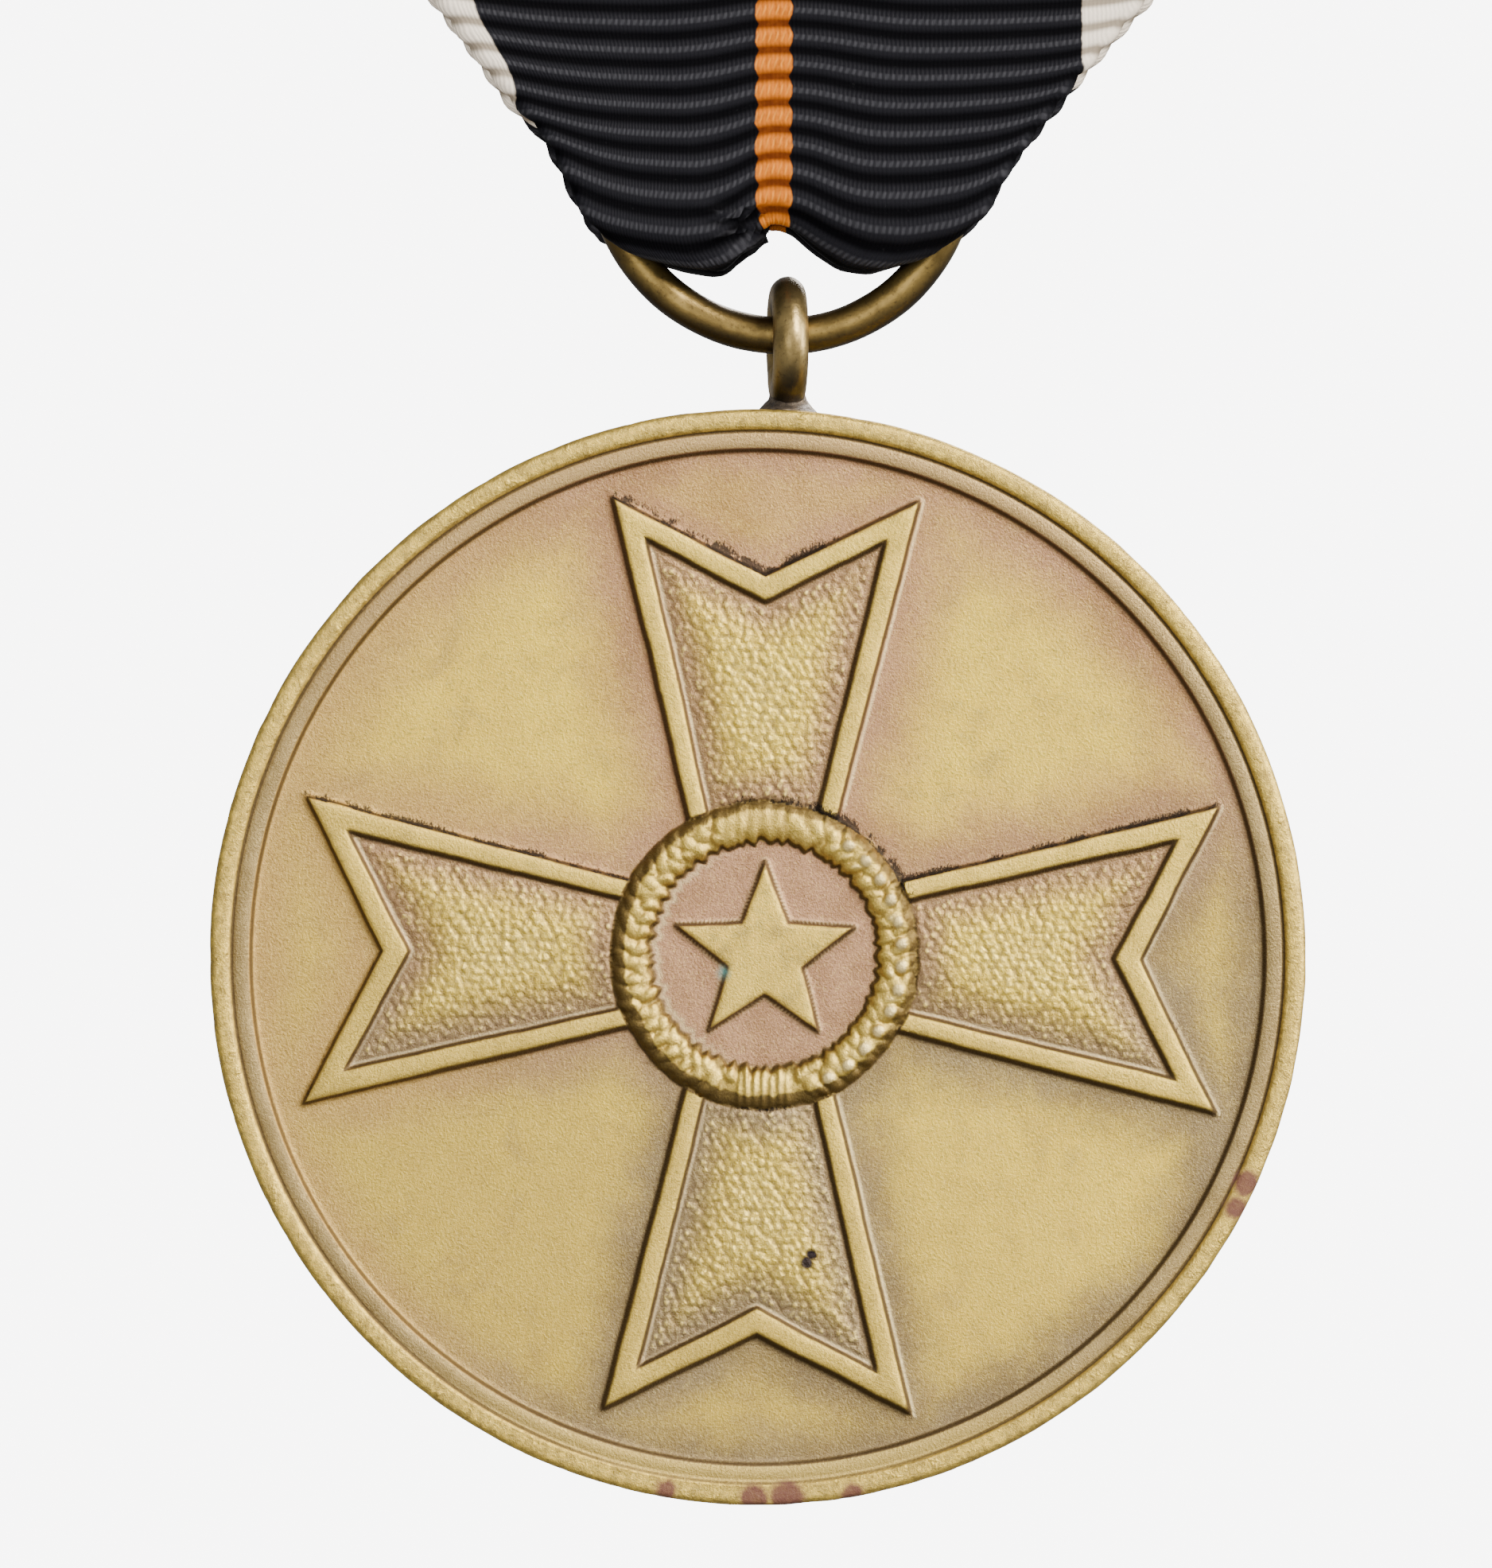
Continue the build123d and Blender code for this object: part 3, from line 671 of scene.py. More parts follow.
def build_ribbon(material):
    """The looped ribbon as one closed strip, and its length along the cloth."""
    path, along = resample(ribbon_path(), RIB / 5)
    tangent = np.gradient(path, axis=0)
    tangent /= np.hypot(tangent[:, 0], tangent[:, 1])[:, None]
    u, x, behind = (np.array(part) for part in zip(*(cloth_row(z - RING_Z) for z in path[:, 1])))
    # Edges roll in towards the middle of the loop
    d = path[:, :1] - tangent[:, 1:] * behind
    z = path[:, 1:] + tangent[:, :1] * behind
    nominal = path[:, 1:] - RING_Z + 0 * u
    # The middle of the fold arches up, clear of the eyelet when the medal swings
    arch = ARCH_H * smooth(1.3, 0.15, np.abs(d)) * smooth(-1.2, -1.9, nominal)
    z = z - sag(x, np.maximum(nominal, -2.3)) + arch
    # Gathered towards the middle where it passes through the ring
    pull = 0.70 + 0.30 * smooth(0.75, 1.75, np.abs(d))
    x = RING_X + (x - RING_X) * (1 - smooth(1.5, -0.6, nominal) * (1 - pull))
    pleat = left_creases(x, z - RING_Z)
    # Slow unevenness of the hanging cloth
    slack = 0.06 * noise(x * 0.22, z * 0.16, 31) + 0.03 * noise(x * 0.8, z * 0.5, 33)
    slack = slack * smooth(-2.0, -8.0, z)
    rib = (np.abs(np.sin(pi * along / RIB)) ** 1.2 - 0.55)[:, None] * RIB_H
    rib = rib * (1 + 0.12 * noise(u * 0.9, along[:, None] * 2.0 + 0 * u, 35))
    offset = rib + CREASE_H * pleat + slack * np.sign(-d)
    middle = np.stack([x, CHAIN_Y + d, z], 2)
    normal = np.cross(np.gradient(middle, axis=1), np.gradient(middle, axis=0))
    normal /= np.maximum(np.linalg.norm(normal, axis=2, keepdims=True), 1e-9)
    # Normals point out of the loop, which is forwards half way down its front
    front_row = int(np.argmin(np.abs(path[:, 1] + 15) + 10 * (path[:, 0] > 0)))
    if normal[front_row, x.shape[1] // 2, 1] > 0:
        normal = -normal
    outer = middle + normal * (CLOTH / 2 + offset)[:, :, None]
    inner = middle - normal * (CLOTH / 2 - offset * 0.8)[:, :, None]
    index = np.arange(x.size).reshape(x.shape)
    a, b, c, e = (part.ravel() for part in (index[:-1, :-1], index[:-1, 1:], index[1:, 1:], index[1:, :-1]))
    faces = [np.stack([a, b, c, e], 1), np.stack([a, e, c, b], 1) + x.size]
    for line in (index[:, 0], index[::-1, -1], index[-1, :], index[0, ::-1]):
        faces.append(np.stack([line[:-1], line[1:], line[1:] + x.size, line[:-1] + x.size], 1))
    both_faces = {"across": u, "along": along[:, None] + 0 * u, "pleat": pleat}
    attributes = {key: np.concatenate([values.ravel()] * 2) for key, values in both_faces.items()}
    verts = np.concatenate([outer.reshape(-1, 3), inner.reshape(-1, 3)]) * MM
    return new_mesh("ribbon_cloth", verts, np.concatenate(faces), material, attributes), float(along[-1])


# ---- Wire, solder and brooch ---------------------------------------------------------------------
def tube(name, centres, radii, material, closed, unevenness):
    """A round wire along centre points, closed on itself or with flat ends."""
    sides = 28
    centres = np.array(centres, float)
    n = len(centres)
    if closed:
        tangents = np.roll(centres, -1, 0) - np.roll(centres, 1, 0)
    else:
        tangents = np.gradient(centres, axis=0)
    tangents /= np.linalg.norm(tangents, axis=1)[:, None]
    plane = np.cross(tangents[0], tangents[n // 4])
    plane /= np.linalg.norm(plane)
    verts, faces = [], []
    for i in range(n):
        side = np.cross(tangents[i], plane)
        side /= np.linalg.norm(side)
        for j in range(sides):
            a = 2 * pi * j / sides
            r = radii[i] * (1 + unevenness * noise_at(i * 0.13, a * 1.3, 3))
            verts.append(centres[i] + (side * cos(a) + plane * sin(a)) * r)
    for i in range(n if closed else n - 1):
        k = (i + 1) % n
        for j in range(sides):
            m = (j + 1) % sides
            faces.append((i * sides + j, k * sides + j, k * sides + m, i * sides + m))
    if not closed:
        last = (n - 1) * sides
        for j in range(sides):
            m = (j + 1) % sides
            faces += [(j, m, len(verts)), (len(verts) + 1, last + m, last + j)]
        verts += [centres[0], centres[-1]]
    return new_mesh(name, np.array(verts) * MM, faces, material)


def build_ring(material):
    """The wire ring, almost round, with its butt joint up in the cloth."""
    slit = radians(0.75)
    steps = 240
    points = []
    for i in range(steps + 1):
        a = slit + (2 * pi - 2 * slit) * i / steps
        r = RING_R + 0.02 * sin(3 * a + 0.6)
        points.append((RING_X + r * sin(a), CHAIN_Y, RING_Z + r * cos(a)))
    radii = [RING_WIRE] * (steps + 1)
    radii[0] = radii[-1] = RING_WIRE - 0.03
    return tube("ring_wire", points, radii, material, closed=False, unevenness=0.012)


def build_eyelet(material):
    """The wire loop on top of the disc, square to it but for a small twist."""
    twist = radians(4.0)
    steps = 120
    points = []
    for i in range(steps):
        out, up = EYELET_R * cos(2 * pi * i / steps), EYELET_R * sin(2 * pi * i / steps)
        points.append((EYELET_X - sin(twist) * out, CHAIN_Y + cos(twist) * out,
                       RING_Z - RING_R - EYELET_DROP + up))
    return tube("eyelet_wire", points, [EYELET_WIRE] * steps, material, closed=True, unevenness=0.02)


def disc_top(x):
    """Height of the disc's edge at x across."""
    return DISC_Z + sqrt(DISC_R ** 2 - (x - DISC_X) ** 2)


def build_solder(material):
    """A rough fillet round the eyelet's foot, wrapped down onto the disc's edge."""
    foot_z = disc_top(EYELET_X)
    levels, around = 14, 56
    neck_x, neck_y, flare_x, flare_y = 0.50, 0.66, 0.36, 0.46
    verts, faces = [], []
    for i in range(levels):
        t = i / (levels - 1)
        flare = (1 - t) ** 2.2
        for j in range(around):
            a = 2 * pi * j / around
            rough = 1 + 0.07 * noise_at(a * 2.6, t * 3, 41) + 0.04 * noise_at(a * 7.0, t * 9, 43)
            x = EYELET_X + (neck_x + flare_x * flare) * rough * cos(a)
            y = (neck_y + flare_y * flare) * rough * sin(a)
            z = (disc_top(x) - 0.03) * (1 - t) + (foot_z + 0.60 + 0.05 * sin(a * 3)) * t
            verts.append((x, CHAIN_Y + y, z))
    for i in range(levels - 1):
        for j in range(around):
            m = (j + 1) % around
            faces.append((i * around + j, i * around + m, (i + 1) * around + m, (i + 1) * around + j))
    top, low = len(verts), len(verts) + 1
    verts += [(EYELET_X, CHAIN_Y, foot_z + 0.5), (EYELET_X, CHAIN_Y, foot_z - 0.1)]
    for j in range(around):
        m = (j + 1) % around
        faces += [((levels - 1) * around + j, (levels - 1) * around + m, top), (m, j, low)]
    return new_mesh("solder_fillet", np.array(verts) * MM, faces, material)


def bevelled(node, width, material):
    """A copy of a CAD node with its sharp edges broken, which is shown in its place."""
    mesh = frame["nodes"][node].data.copy()
    mesh.name = node + "_finish"
    work = bmesh.new()
    work.from_mesh(mesh)
    bmesh.ops.remove_doubles(work, verts=work.verts, dist=1e-7)
    bmesh.ops.dissolve_limit(work, angle_limit=radians(1.0), verts=work.verts, edges=work.edges)
    sharp = [e for e in work.edges if len(e.link_faces) == 2 and e.calc_face_angle(0) > radians(28)]
    bmesh.ops.bevel(work, geom=sharp, offset=width * MM, segments=2, profile=0.6, affect="EDGES",
                    clamp_overlap=True)
    bmesh.ops.recalc_face_normals(work, faces=work.faces)
    work.to_mesh(mesh)
    work.free()
    mesh.materials.clear()
    mesh.materials.append(material)
    obj = bpy.data.objects.new(node + "_finish", mesh)
    bpy.context.scene.collection.objects.link(obj)
    mesh.shade_smooth()
    with bpy.context.temp_override(object=obj, active_object=obj, selected_objects=[obj]):
        mesh.set_sharp_from_angle(angle=radians(32))
    return obj


# ---- Materials -----------------------------------------------------------------------------------
class Nodes:
    """Short calls for wiring up one material."""

    def __init__(self, name):
        self.material = bpy.data.materials.new(name)
        self.material.use_nodes = True
        self.tree = self.material.node_tree
        self.tree.nodes.clear()
        self.out = self.node("OutputMaterial")
        coords = self.node("TexCoord").outputs["Object"]
        self.mm = self.vector("SCALE", {0: coords, "Scale": 1 / MM})

    def node(self, kind, inputs=None, **settings):
        """A new node with its settings made, and its inputs linked or set."""
        node = self.tree.nodes.new("ShaderNode" + kind)
        for key, value in settings.items():
            setattr(node, key, value)
        for key, value in (inputs or {}).items():
            if isinstance(value, bpy.types.NodeSocket):
                self.tree.links.new(value, node.inputs[key])
            else:
                node.inputs[key].default_value = value
        return node

    def attribute(self, name):
        return self.node("Attribute", attribute_name=name).outputs["Fac"]

    def vector(self, operation, inputs, output=0):
        return self.node("VectorMath", inputs, operation=operation).outputs[output]

    def stretch(self, vector, x, y, z):
        return self.vector("MULTIPLY", {0: vector, 1: (x, y, z)})

    def axes(self, vector):
        split = self.node("SeparateXYZ", {0: vector})
        return [split.outputs[key] for key in "XYZ"]

    def math(self, operation, *values, clamp=False):
        return self.node("Math", dict(enumerate(values)), operation=operation, use_clamp=clamp).outputs[0]

    def times(self, a, b, clamp=False):
        return self.math("MULTIPLY", a, b, clamp=clamp)

    def most(self, first, *others):
        for other in others:
            first = self.math("MAXIMUM", first, other)
        return first

    def ramp(self, value, lo, hi, out_lo=0.0, out_hi=1.0, kind="SMOOTHSTEP"):
        inputs = {"Value": value, "From Min": lo, "From Max": hi, "To Min": out_lo, "To Max": out_hi}
        return self.node("MapRange", inputs, interpolation_type=kind).outputs["Result"]

    def noise(self, scale, detail=2.0, rough=0.5, vector=None, distortion=0.0):
        inputs = {"Vector": vector or self.mm, "Scale": scale, "Detail": detail, "Roughness": rough,
                  "Distortion": distortion}
        return self.node("TexNoise", inputs).outputs["Fac"]

    def mix(self, factor, a, b):
        """From colour a to colour b."""
        inputs = {"Factor": factor, "A": a, "B": b}
        return self.node("Mix", inputs, data_type="RGBA").outputs["Result"]

    def mottle(self, value, lo, hi, a, b):
        """Two colours mixed by a noise value that runs from lo to hi."""
        return self.mix(self.ramp(value, lo, hi), a, b)

    def wash(self, color, mask, share, over):
        """A colour laid over another by a share of a mask."""
        return self.mix(self.times(mask, share), color, over)

    def bump(self, height, strength, distance, normal=None):
        inputs = {"Height": height, "Strength": strength, "Distance": distance}
        if normal is not None:
            inputs["Normal"] = normal
        return self.node("Bump", inputs).outputs["Normal"]

    def spot(self, x, z, radius, soften):
        """One in a small round patch at x, z in millimetres, seen through the part's depth."""
        away = self.vector("SUBTRACT", {0: self.stretch(self.mm, 1, 0, 1), 1: (x, 0, z)})
        length = self.vector("LENGTH", {0: away}, "Value")
        ragged = self.math("MULTIPLY_ADD", self.noise(5.0, 4.0, 0.7), soften, length)
        return self.ramp(ragged, radius + soften, radius)

    def finish(self, color, metallic, roughness, normal, **extra):
        inputs = {"Base Color": color, "Metallic": metallic, "Roughness": roughness, "Normal": normal}
        inputs.update((key.replace("_", " "), value) for key, value in extra.items())
        surface = self.node("BsdfPrincipled", inputs)
        self.tree.links.new(surface.outputs[0], self.out.inputs["Surface"])
        return self.material


def tone(r, g, b):
    """A base colour from linear red, green and blue."""
    return (r, g, b, 1.0)


# Copper-red stains on the rim, a dark fleck and a green spot: x, z, radius
STAINS = ((-3.13, -76.84, 0.33), (-0.55, -77.08, 0.43), (0.40, -77.08, 0.52), (2.31, -77.00, 0.36),
          (13.8, -67.9, 0.40), (13.5, -68.6, 0.34))
FLECKS = ((0.98, -70.22, 0.20), (1.13, -70.00, 0.17))
GREEN_SPOT = (-1.45, -61.75, 0.16)


def medal_material():
    """Toned bronze: gold fields, brown bloom by the steps, rubbed tops, oxide on the ledges, with painted
    shade and painted highlights.
    """
    m = Nodes("struck bronze")
    foot, top, panel, rim = (m.attribute(name) for name in ("foot", "top", "panel", "rim"))
    leaf, pan, grain_top = (m.attribute(name) for name in ("leaf", "pan", "grain"))
    corner_patina_and_shade, soot, painted_highlight = (m.attribute(name) for name in ("wall", "soot", "painted_highlight"))
    across, depth, height = m.axes(m.mm)
    cloud, mottle, grain = m.noise(0.35, 3.0, 0.55), m.noise(1.2, 5.0, 0.65), m.noise(5.0, 4.0, 0.7)
    sand = m.noise(13.0, 3.0, 0.75)

    # Painted shade: the metal is darker towards the lower left, away from the light
    gold = m.mottle(mottle, 0.3, 0.7, tone(0.97, 0.68, 0.088), tone(0.84, 0.575, 0.085))
    corner = m.math("ADD", m.times(across, 0.6), m.times(height, 0.8))
    lower_left_painted_shade = m.ramp(corner, 0.8 * DISC_Z + 3, 0.8 * DISC_Z - 12)
    gold = m.wash(gold, lower_left_painted_shade, 0.55, tone(0.50, 0.345, 0.085))

    # Brown-pink bloom gathers along every foot and at the top, greyer at the lower right
    reach = m.ramp(height, DISC_Z - 8, DISC_Z + 8, 1.9, 3.0, "LINEAR")
    wander = m.math("MULTIPLY_ADD", m.noise(0.5, 5.0, 0.62), 1.8, -0.9)
    near = m.math("DIVIDE", m.math("ADD", foot, wander), reach)
    bloom = m.math("SUBTRACT", 1.0, near, clamp=True)
    bloom = m.math("MULTIPLY_ADD", m.math("SUBTRACT", grain, 0.5), 0.35, bloom)
    bloom = m.most(m.ramp(bloom, 0.0, 1.0), m.ramp(height, DISC_Z + 10.5, DISC_Z + 13, 0.0, 0.75))
    pink = m.mottle(cloud, 0.35, 0.65, tone(0.53, 0.295, 0.154), tone(0.42, 0.230, 0.112))
    olive = m.mottle(cloud, 0.35, 0.65, tone(0.33, 0.238, 0.122), tone(0.27, 0.190, 0.093))
    slope = m.math("MULTIPLY_ADD", across, -0.35, height)
    tint = m.mix(m.ramp(slope, DISC_Z - 5, DISC_Z + 3), olive, pink)
    tint = m.mix(m.ramp(across, DISC_X - 4, DISC_X - 12, 0.0, 0.92), tint, tone(0.60, 0.385, 0.112))
    color = m.mix(bloom, gold, tint)

    # Ochre patches drift over the open field, and the wreath's hole is pinker
    ochre = m.ramp(m.noise(0.6, 5.0, 0.65, distortion=0.4), 0.52, 0.72, 0.0, 0.42)
    color = m.mix(ochre, color, tone(0.44, 0.290, 0.105))
    inner = m.mottle(mottle, 0.35, 0.65, tone(0.58, 0.325, 0.180), tone(0.44, 0.240, 0.128))
    color = m.wash(color, pan, 0.9, inner)

    # The panels are brown round their edges only
    brim = m.times(m.ramp(m.math("ADD", foot, m.times(wander, 0.5)), 1.55, 0.20), panel)
    umber = m.mottle(height, DISC_Z - 5, DISC_Z + 2, tone(0.31, 0.222, 0.128), tone(0.36, 0.205, 0.115))
    crown = m.mix(m.ramp(foot, 1.0, 2.1, 0.0, 0.28), gold, tone(1.0, 0.74, 0.180))
    color = m.mix(panel, color, m.wash(crown, brim, 0.92, umber))

    # Raised tops are rubbed to clean metal, with some tarnish left on the star
    clean = m.mottle(mottle, 0.35, 0.7, tone(0.95, 0.668, 0.128), tone(0.76, 0.530, 0.104))
    # Painted shade on the rubbed tops too, darker towards the lower left
    clean = m.wash(clean, lower_left_painted_shade, 0.4, tone(0.44, 0.305, 0.070))
    tarnish = m.ramp(m.noise(1.1, 5.0, 0.65), 0.48, 0.66, 0.0, 0.55)
    clean = m.wash(clean, tarnish, m.math("MULTIPLY_ADD", pan, 0.6, 0.4), tone(0.36, 0.245, 0.090))
    color = m.mix(m.ramp(top, 0.55, 0.95), color, clean)
    wreath = m.mottle(grain, 0.35, 0.65, tone(0.80, 0.565, 0.112), tone(0.60, 0.410, 0.082))
    color = m.wash(color, leaf, 0.85, wreath)

    # The rim's lip is rubbed bright, and the step inside it is pinker at the top and gold at the bottom
    rub = m.mottle(m.noise(3.6, 6.0, 0.75), 0.36, 0.66, tone(0.54, 0.370, 0.092), tone(0.97, 0.68, 0.135))
    step = m.mottle(mottle, 0.35, 0.65, tone(0.47, 0.335, 0.138), tone(0.37, 0.260, 0.105))
    step = m.mix(m.ramp(height, DISC_Z + 5, DISC_Z + 13), step, tone(0.52, 0.345, 0.142))
    step = m.mix(m.ramp(height, DISC_Z - 11, DISC_Z - 15, 0.0, 0.8), step, tone(0.66, 0.470, 0.125))
    color = m.mix(m.ramp(rim, 0.1, 0.4), color, m.mix(m.ramp(rim, 0.6, 0.9), step, rub))

    # Pebbled grain of the arm panels: brown patina between the grains, and bright tops that are partly rubbed
    # metal and partly painted highlight
    dip = m.times(m.ramp(grain_top, 0.55, 0.0), panel)
    color = m.wash(color, dip, 0.52, tone(0.24, 0.150, 0.078))
    color = m.wash(color, m.ramp(grain_top, 0.6, 1.0), 0.70, tone(0.98, 0.73, 0.200))

    # Sandy speckle of the struck surface
    color = m.mix(m.ramp(sand, 0.50, 0.74, 0.0, 0.50), color, tone(0.16, 0.105, 0.045))
    color = m.mix(m.ramp(sand, 0.48, 0.26, 0.0, 0.38), color, tone(0.95, 0.74, 0.24))

    # Brown patina line in each corner of a step, widened by painted shade away from the light and fainter at
    # the bottom of the rim, and a painted highlight on the fillets
    line = m.times(corner_patina_and_shade, m.ramp(m.noise(3.0, 3.0, 0.6), 0.2, 0.5, 0.80, 1.05), clamp=True)
    line = m.times(line, m.ramp(height, DISC_Z - 13.8, DISC_Z - 15, 1.0, 0.6))
    color = m.mix(m.ramp(line, 0.12, 0.85, 0.0, 0.86), color, tone(0.092, 0.058, 0.024))
    # Painted highlight on the fillets, round the star, in the star's hollow and on the leaves
    color = m.wash(color, painted_highlight, 0.6, tone(0.98, 0.80, 0.42))

    # Black oxide on ledges, ragged at its outer side
    bristle = m.noise(10.0, 5.0, 0.85, m.stretch(m.mm, 1.5, 1.0, 0.6))
    fuzz = m.times(soot, m.ramp(m.noise(1.3, 3.0, 0.6), 0.36, 0.6, 0.55, 1.15))
    fuzz = m.ramp(m.math("ADD", fuzz, m.math("MULTIPLY_ADD", bristle, 2.6, -1.3)), 0.60, 0.95)
    fuzz = m.times(fuzz, m.ramp(soot, 0.02, 0.2))
    color = m.wash(color, fuzz, 0.90, tone(0.030, 0.024, 0.020))

    # Stains go right through the rim, and the fleck and the green spot lie on the front only
    front = m.ramp(depth, CHAIN_Y - 0.4, CHAIN_Y - 0.8)
    stains = m.most(*(m.spot(x, z, radius, 0.28) for x, z, radius in STAINS))
    color = m.wash(color, stains, 0.92, tone(0.095, 0.023, 0.026))
    fleck = m.times(m.most(*(m.spot(x, z, radius, 0.16) for x, z, radius in FLECKS)), front)
    color = m.wash(color, fleck, 0.97, tone(0.012, 0.009, 0.019))
    green = m.times(m.spot(*GREEN_SPOT, 0.4), front)
    color = m.wash(color, green, 0.85, tone(0.07, 0.22, 0.20))

    # Stained and sooty places are duller, leaves and panels are smoother
    stained = m.most(stains, green)
    metal = m.math("SUBTRACT", 0.95, m.times(stained, 0.6), clamp=True)
    rough = m.math("MULTIPLY_ADD", grain, 0.16, 0.36)
    rough = m.math("MULTIPLY_ADD", bloom, 0.07, rough)
    rough = m.math("MULTIPLY_ADD", m.most(leaf, panel), -0.10, rough)
    rough = m.math("MULTIPLY_ADD", m.most(line, fuzz, stained), 0.15, rough)
    normal = m.bump(sand, 0.60, 0.00005)
    dents = m.ramp(m.noise(2.6, 2.0, 0.5), 0.62, 0.72)
    return m.finish(color, metal, rough, m.bump(dents, m.times(rim, 0.25), 0.00006, normal))


def wire_material(name, base, high, low, seed, gloss):
    """Worn bronze wire, with painted shade where it faces straight down and where it faces up into the
    cloth's shadow.
    """
    m = Nodes(name)
    at = m.vector("ADD", {0: m.mm, 1: (seed, seed * 2.0, seed * 0.7)})
    fine = m.noise(7.0, 4.0, 0.7, at)
    color = m.mottle(m.noise(0.9, 4.0, 0.6, at), 0.38, 0.62, base, high)
    color = m.wash(color, m.ramp(fine, 0.52, 0.72), 0.6, low)
    facing_up = m.axes(m.node("NewGeometry").outputs["Normal"])[2]
    # Painted shade on the faces turned down, and on those turned up into the cloth's shadow
    color = m.mix(m.ramp(facing_up, -0.12, -0.65, 0.0, 0.92), color, tone(0.030, 0.024, 0.017))
    color = m.mix(m.ramp(facing_up, 0.25, 0.8, 0.0, 0.75), color, low)
    rough = m.math("MULTIPLY_ADD", fine, 0.2, gloss)
    return m.finish(color, 0.92, rough, m.bump(m.noise(6.0, 4.0, 0.6, at), 0.20, 0.00006))


def solder_material():
    m = Nodes("grey solder")
    patches = m.noise(3.0, 4.0, 0.7)
    color = m.mottle(patches, 0.38, 0.62, tone(0.16, 0.125, 0.09), tone(0.06, 0.047, 0.036))
    color = m.wash(color, m.ramp(m.noise(1.5, 2.0), 0.5, 0.7), 0.4, tone(0.42, 0.30, 0.12))
    rough = m.math("MULTIPLY_ADD", patches, 0.25, 0.32)
    return m.finish(color, 0.75, rough, m.bump(m.noise(5.0, 5.0, 0.7), 0.6, 0.00012))


def ribbon_material():
    """Black ribbed silk with an orange stripe and white edge bands, with painted shade in the grooves and
    painted highlights on the crests.
    """
    m = Nodes("ribbed silk ribbon")
    across, along, pleat = (m.attribute(name) for name in ("across", "along", "pleat"))
    flat = m.node("CombineXYZ", {"X": across, "Y": along}).outputs[0]
    wobble = m.math("MULTIPLY_ADD", m.noise(2.2, 2.0, 0.6, m.stretch(flat, 0.2, 1.0, 1.0)), 0.12, -0.06)
    u = m.math("ADD", across, wobble)
    ridge = m.math("ABSOLUTE", m.math("SINE", m.times(along, pi / RIB)))
    thread = m.math("SINE", m.times(u, 2 * pi / THREAD))
    lean = m.math("SINE", m.math("ADD", m.times(u, 2 * pi / TWILL), m.times(along, 9.0)))
    # Share of painted shade in the grooves between the ribs
    groove_shade = m.ramp(ridge, 0.88, 0.22)

    # Black, with painted shade in its grooves
    black = m.mix(groove_shade, tone(0.0070, 0.0068, 0.0084), tone(0.0010, 0.0009, 0.0013))
    # Painted highlight along the crests of the ribs, broken by the slant of the twill
    crest_highlight = m.times(m.ramp(ridge, 0.90, 1.0), m.ramp(lean, -0.8, 0.9, 0.30, 1.0))
    black = m.wash(black, crest_highlight, 0.62, tone(0.038, 0.037, 0.041))
    lint = m.ramp(m.noise(5.0, 4.0, 0.7, flat), 0.62, 0.8)
    black = m.wash(black, lint, 0.12, tone(0.06, 0.058, 0.058))
    # Painted shade in the creases' hollows and painted highlight on their ridges
    black = m.mix(m.ramp(pleat, 0.05, -0.8, 0.0, 0.85), black, tone(0.0009, 0.0009, 0.0012))
    black = m.mix(m.ramp(pleat, 0.3, 0.95, 0.0, 0.55), black, tone(0.030, 0.029, 0.032))

    # Orange, with painted shade in its grooves
    orange = m.mix(groove_shade, tone(0.42, 0.114, 0.0072), tone(0.070, 0.0145, 0.0020))
    worn = m.ramp(m.noise(4.0, 3.0, 0.6, flat), 0.4, 0.65)
    orange = m.wash(orange, worn, 0.35, tone(0.15, 0.036, 0.003))
    # Painted sheen on the crests of the orange ribs, broken by the twill
    orange_painted_sheen = m.ramp(ridge, 0.7, 1.0, 0.0, 0.6)
    orange = m.wash(orange, m.ramp(lean, 0.2, 1.0), orange_painted_sheen, tone(0.54, 0.200, 0.024))

    # White, with painted shade in its grooves
    white = m.mix(groove_shade, tone(0.69, 0.600, 0.485), tone(0.21, 0.170, 0.124))
    soiled = m.ramp(m.noise(1.2, 3.0, 0.6, flat), 0.45, 0.75)
    white = m.wash(white, soiled, 0.25, tone(0.37, 0.315, 0.245))

    # The stripe is wider on the ribs than between them
    stripe_half = m.ramp(ridge, 0.0, 0.9, 0.43, 0.54, "LINEAR")
    from_stripe = m.math("ABSOLUTE", m.math("SUBTRACT", u, STRIPE_X))
    color = m.mix(m.ramp(m.math("SUBTRACT", stripe_half, from_stripe), -0.03, 0.03), black, orange)
    from_middle = m.math("ABSOLUTE", m.math("SUBTRACT", u, BANDS_X))
    color = m.mix(m.ramp(from_middle, 8.86, 8.94), color, white)

    weft = m.bump(m.times(thread, m.ramp(ridge, 0.2, 0.7, 0.4, 1.0)), 0.32, 0.00003)
    fibre = m.bump(m.noise(14.0, 3.0, 0.7, m.stretch(flat, 1.0, 0.4, 1.0)), 0.25, 0.00003, weft)
    return m.finish(color, 0.0, m.ramp(ridge, 0.2, 1.0, 0.75, 0.50), fibre, Specular_IOR_Level=0.04)


def thread_material():
    m = Nodes("seam thread")
    twist = m.noise(9.0, 2.0, 0.5, m.stretch(m.mm, 1.0, 0.3, 0.3))
    color = m.mottle(twist, 0.4, 0.6, tone(0.004, 0.004, 0.005), tone(0.02, 0.02, 0.022))
    return m.finish(color, 0.0, 0.65, m.bump(twist, 0.5, 0.00005))


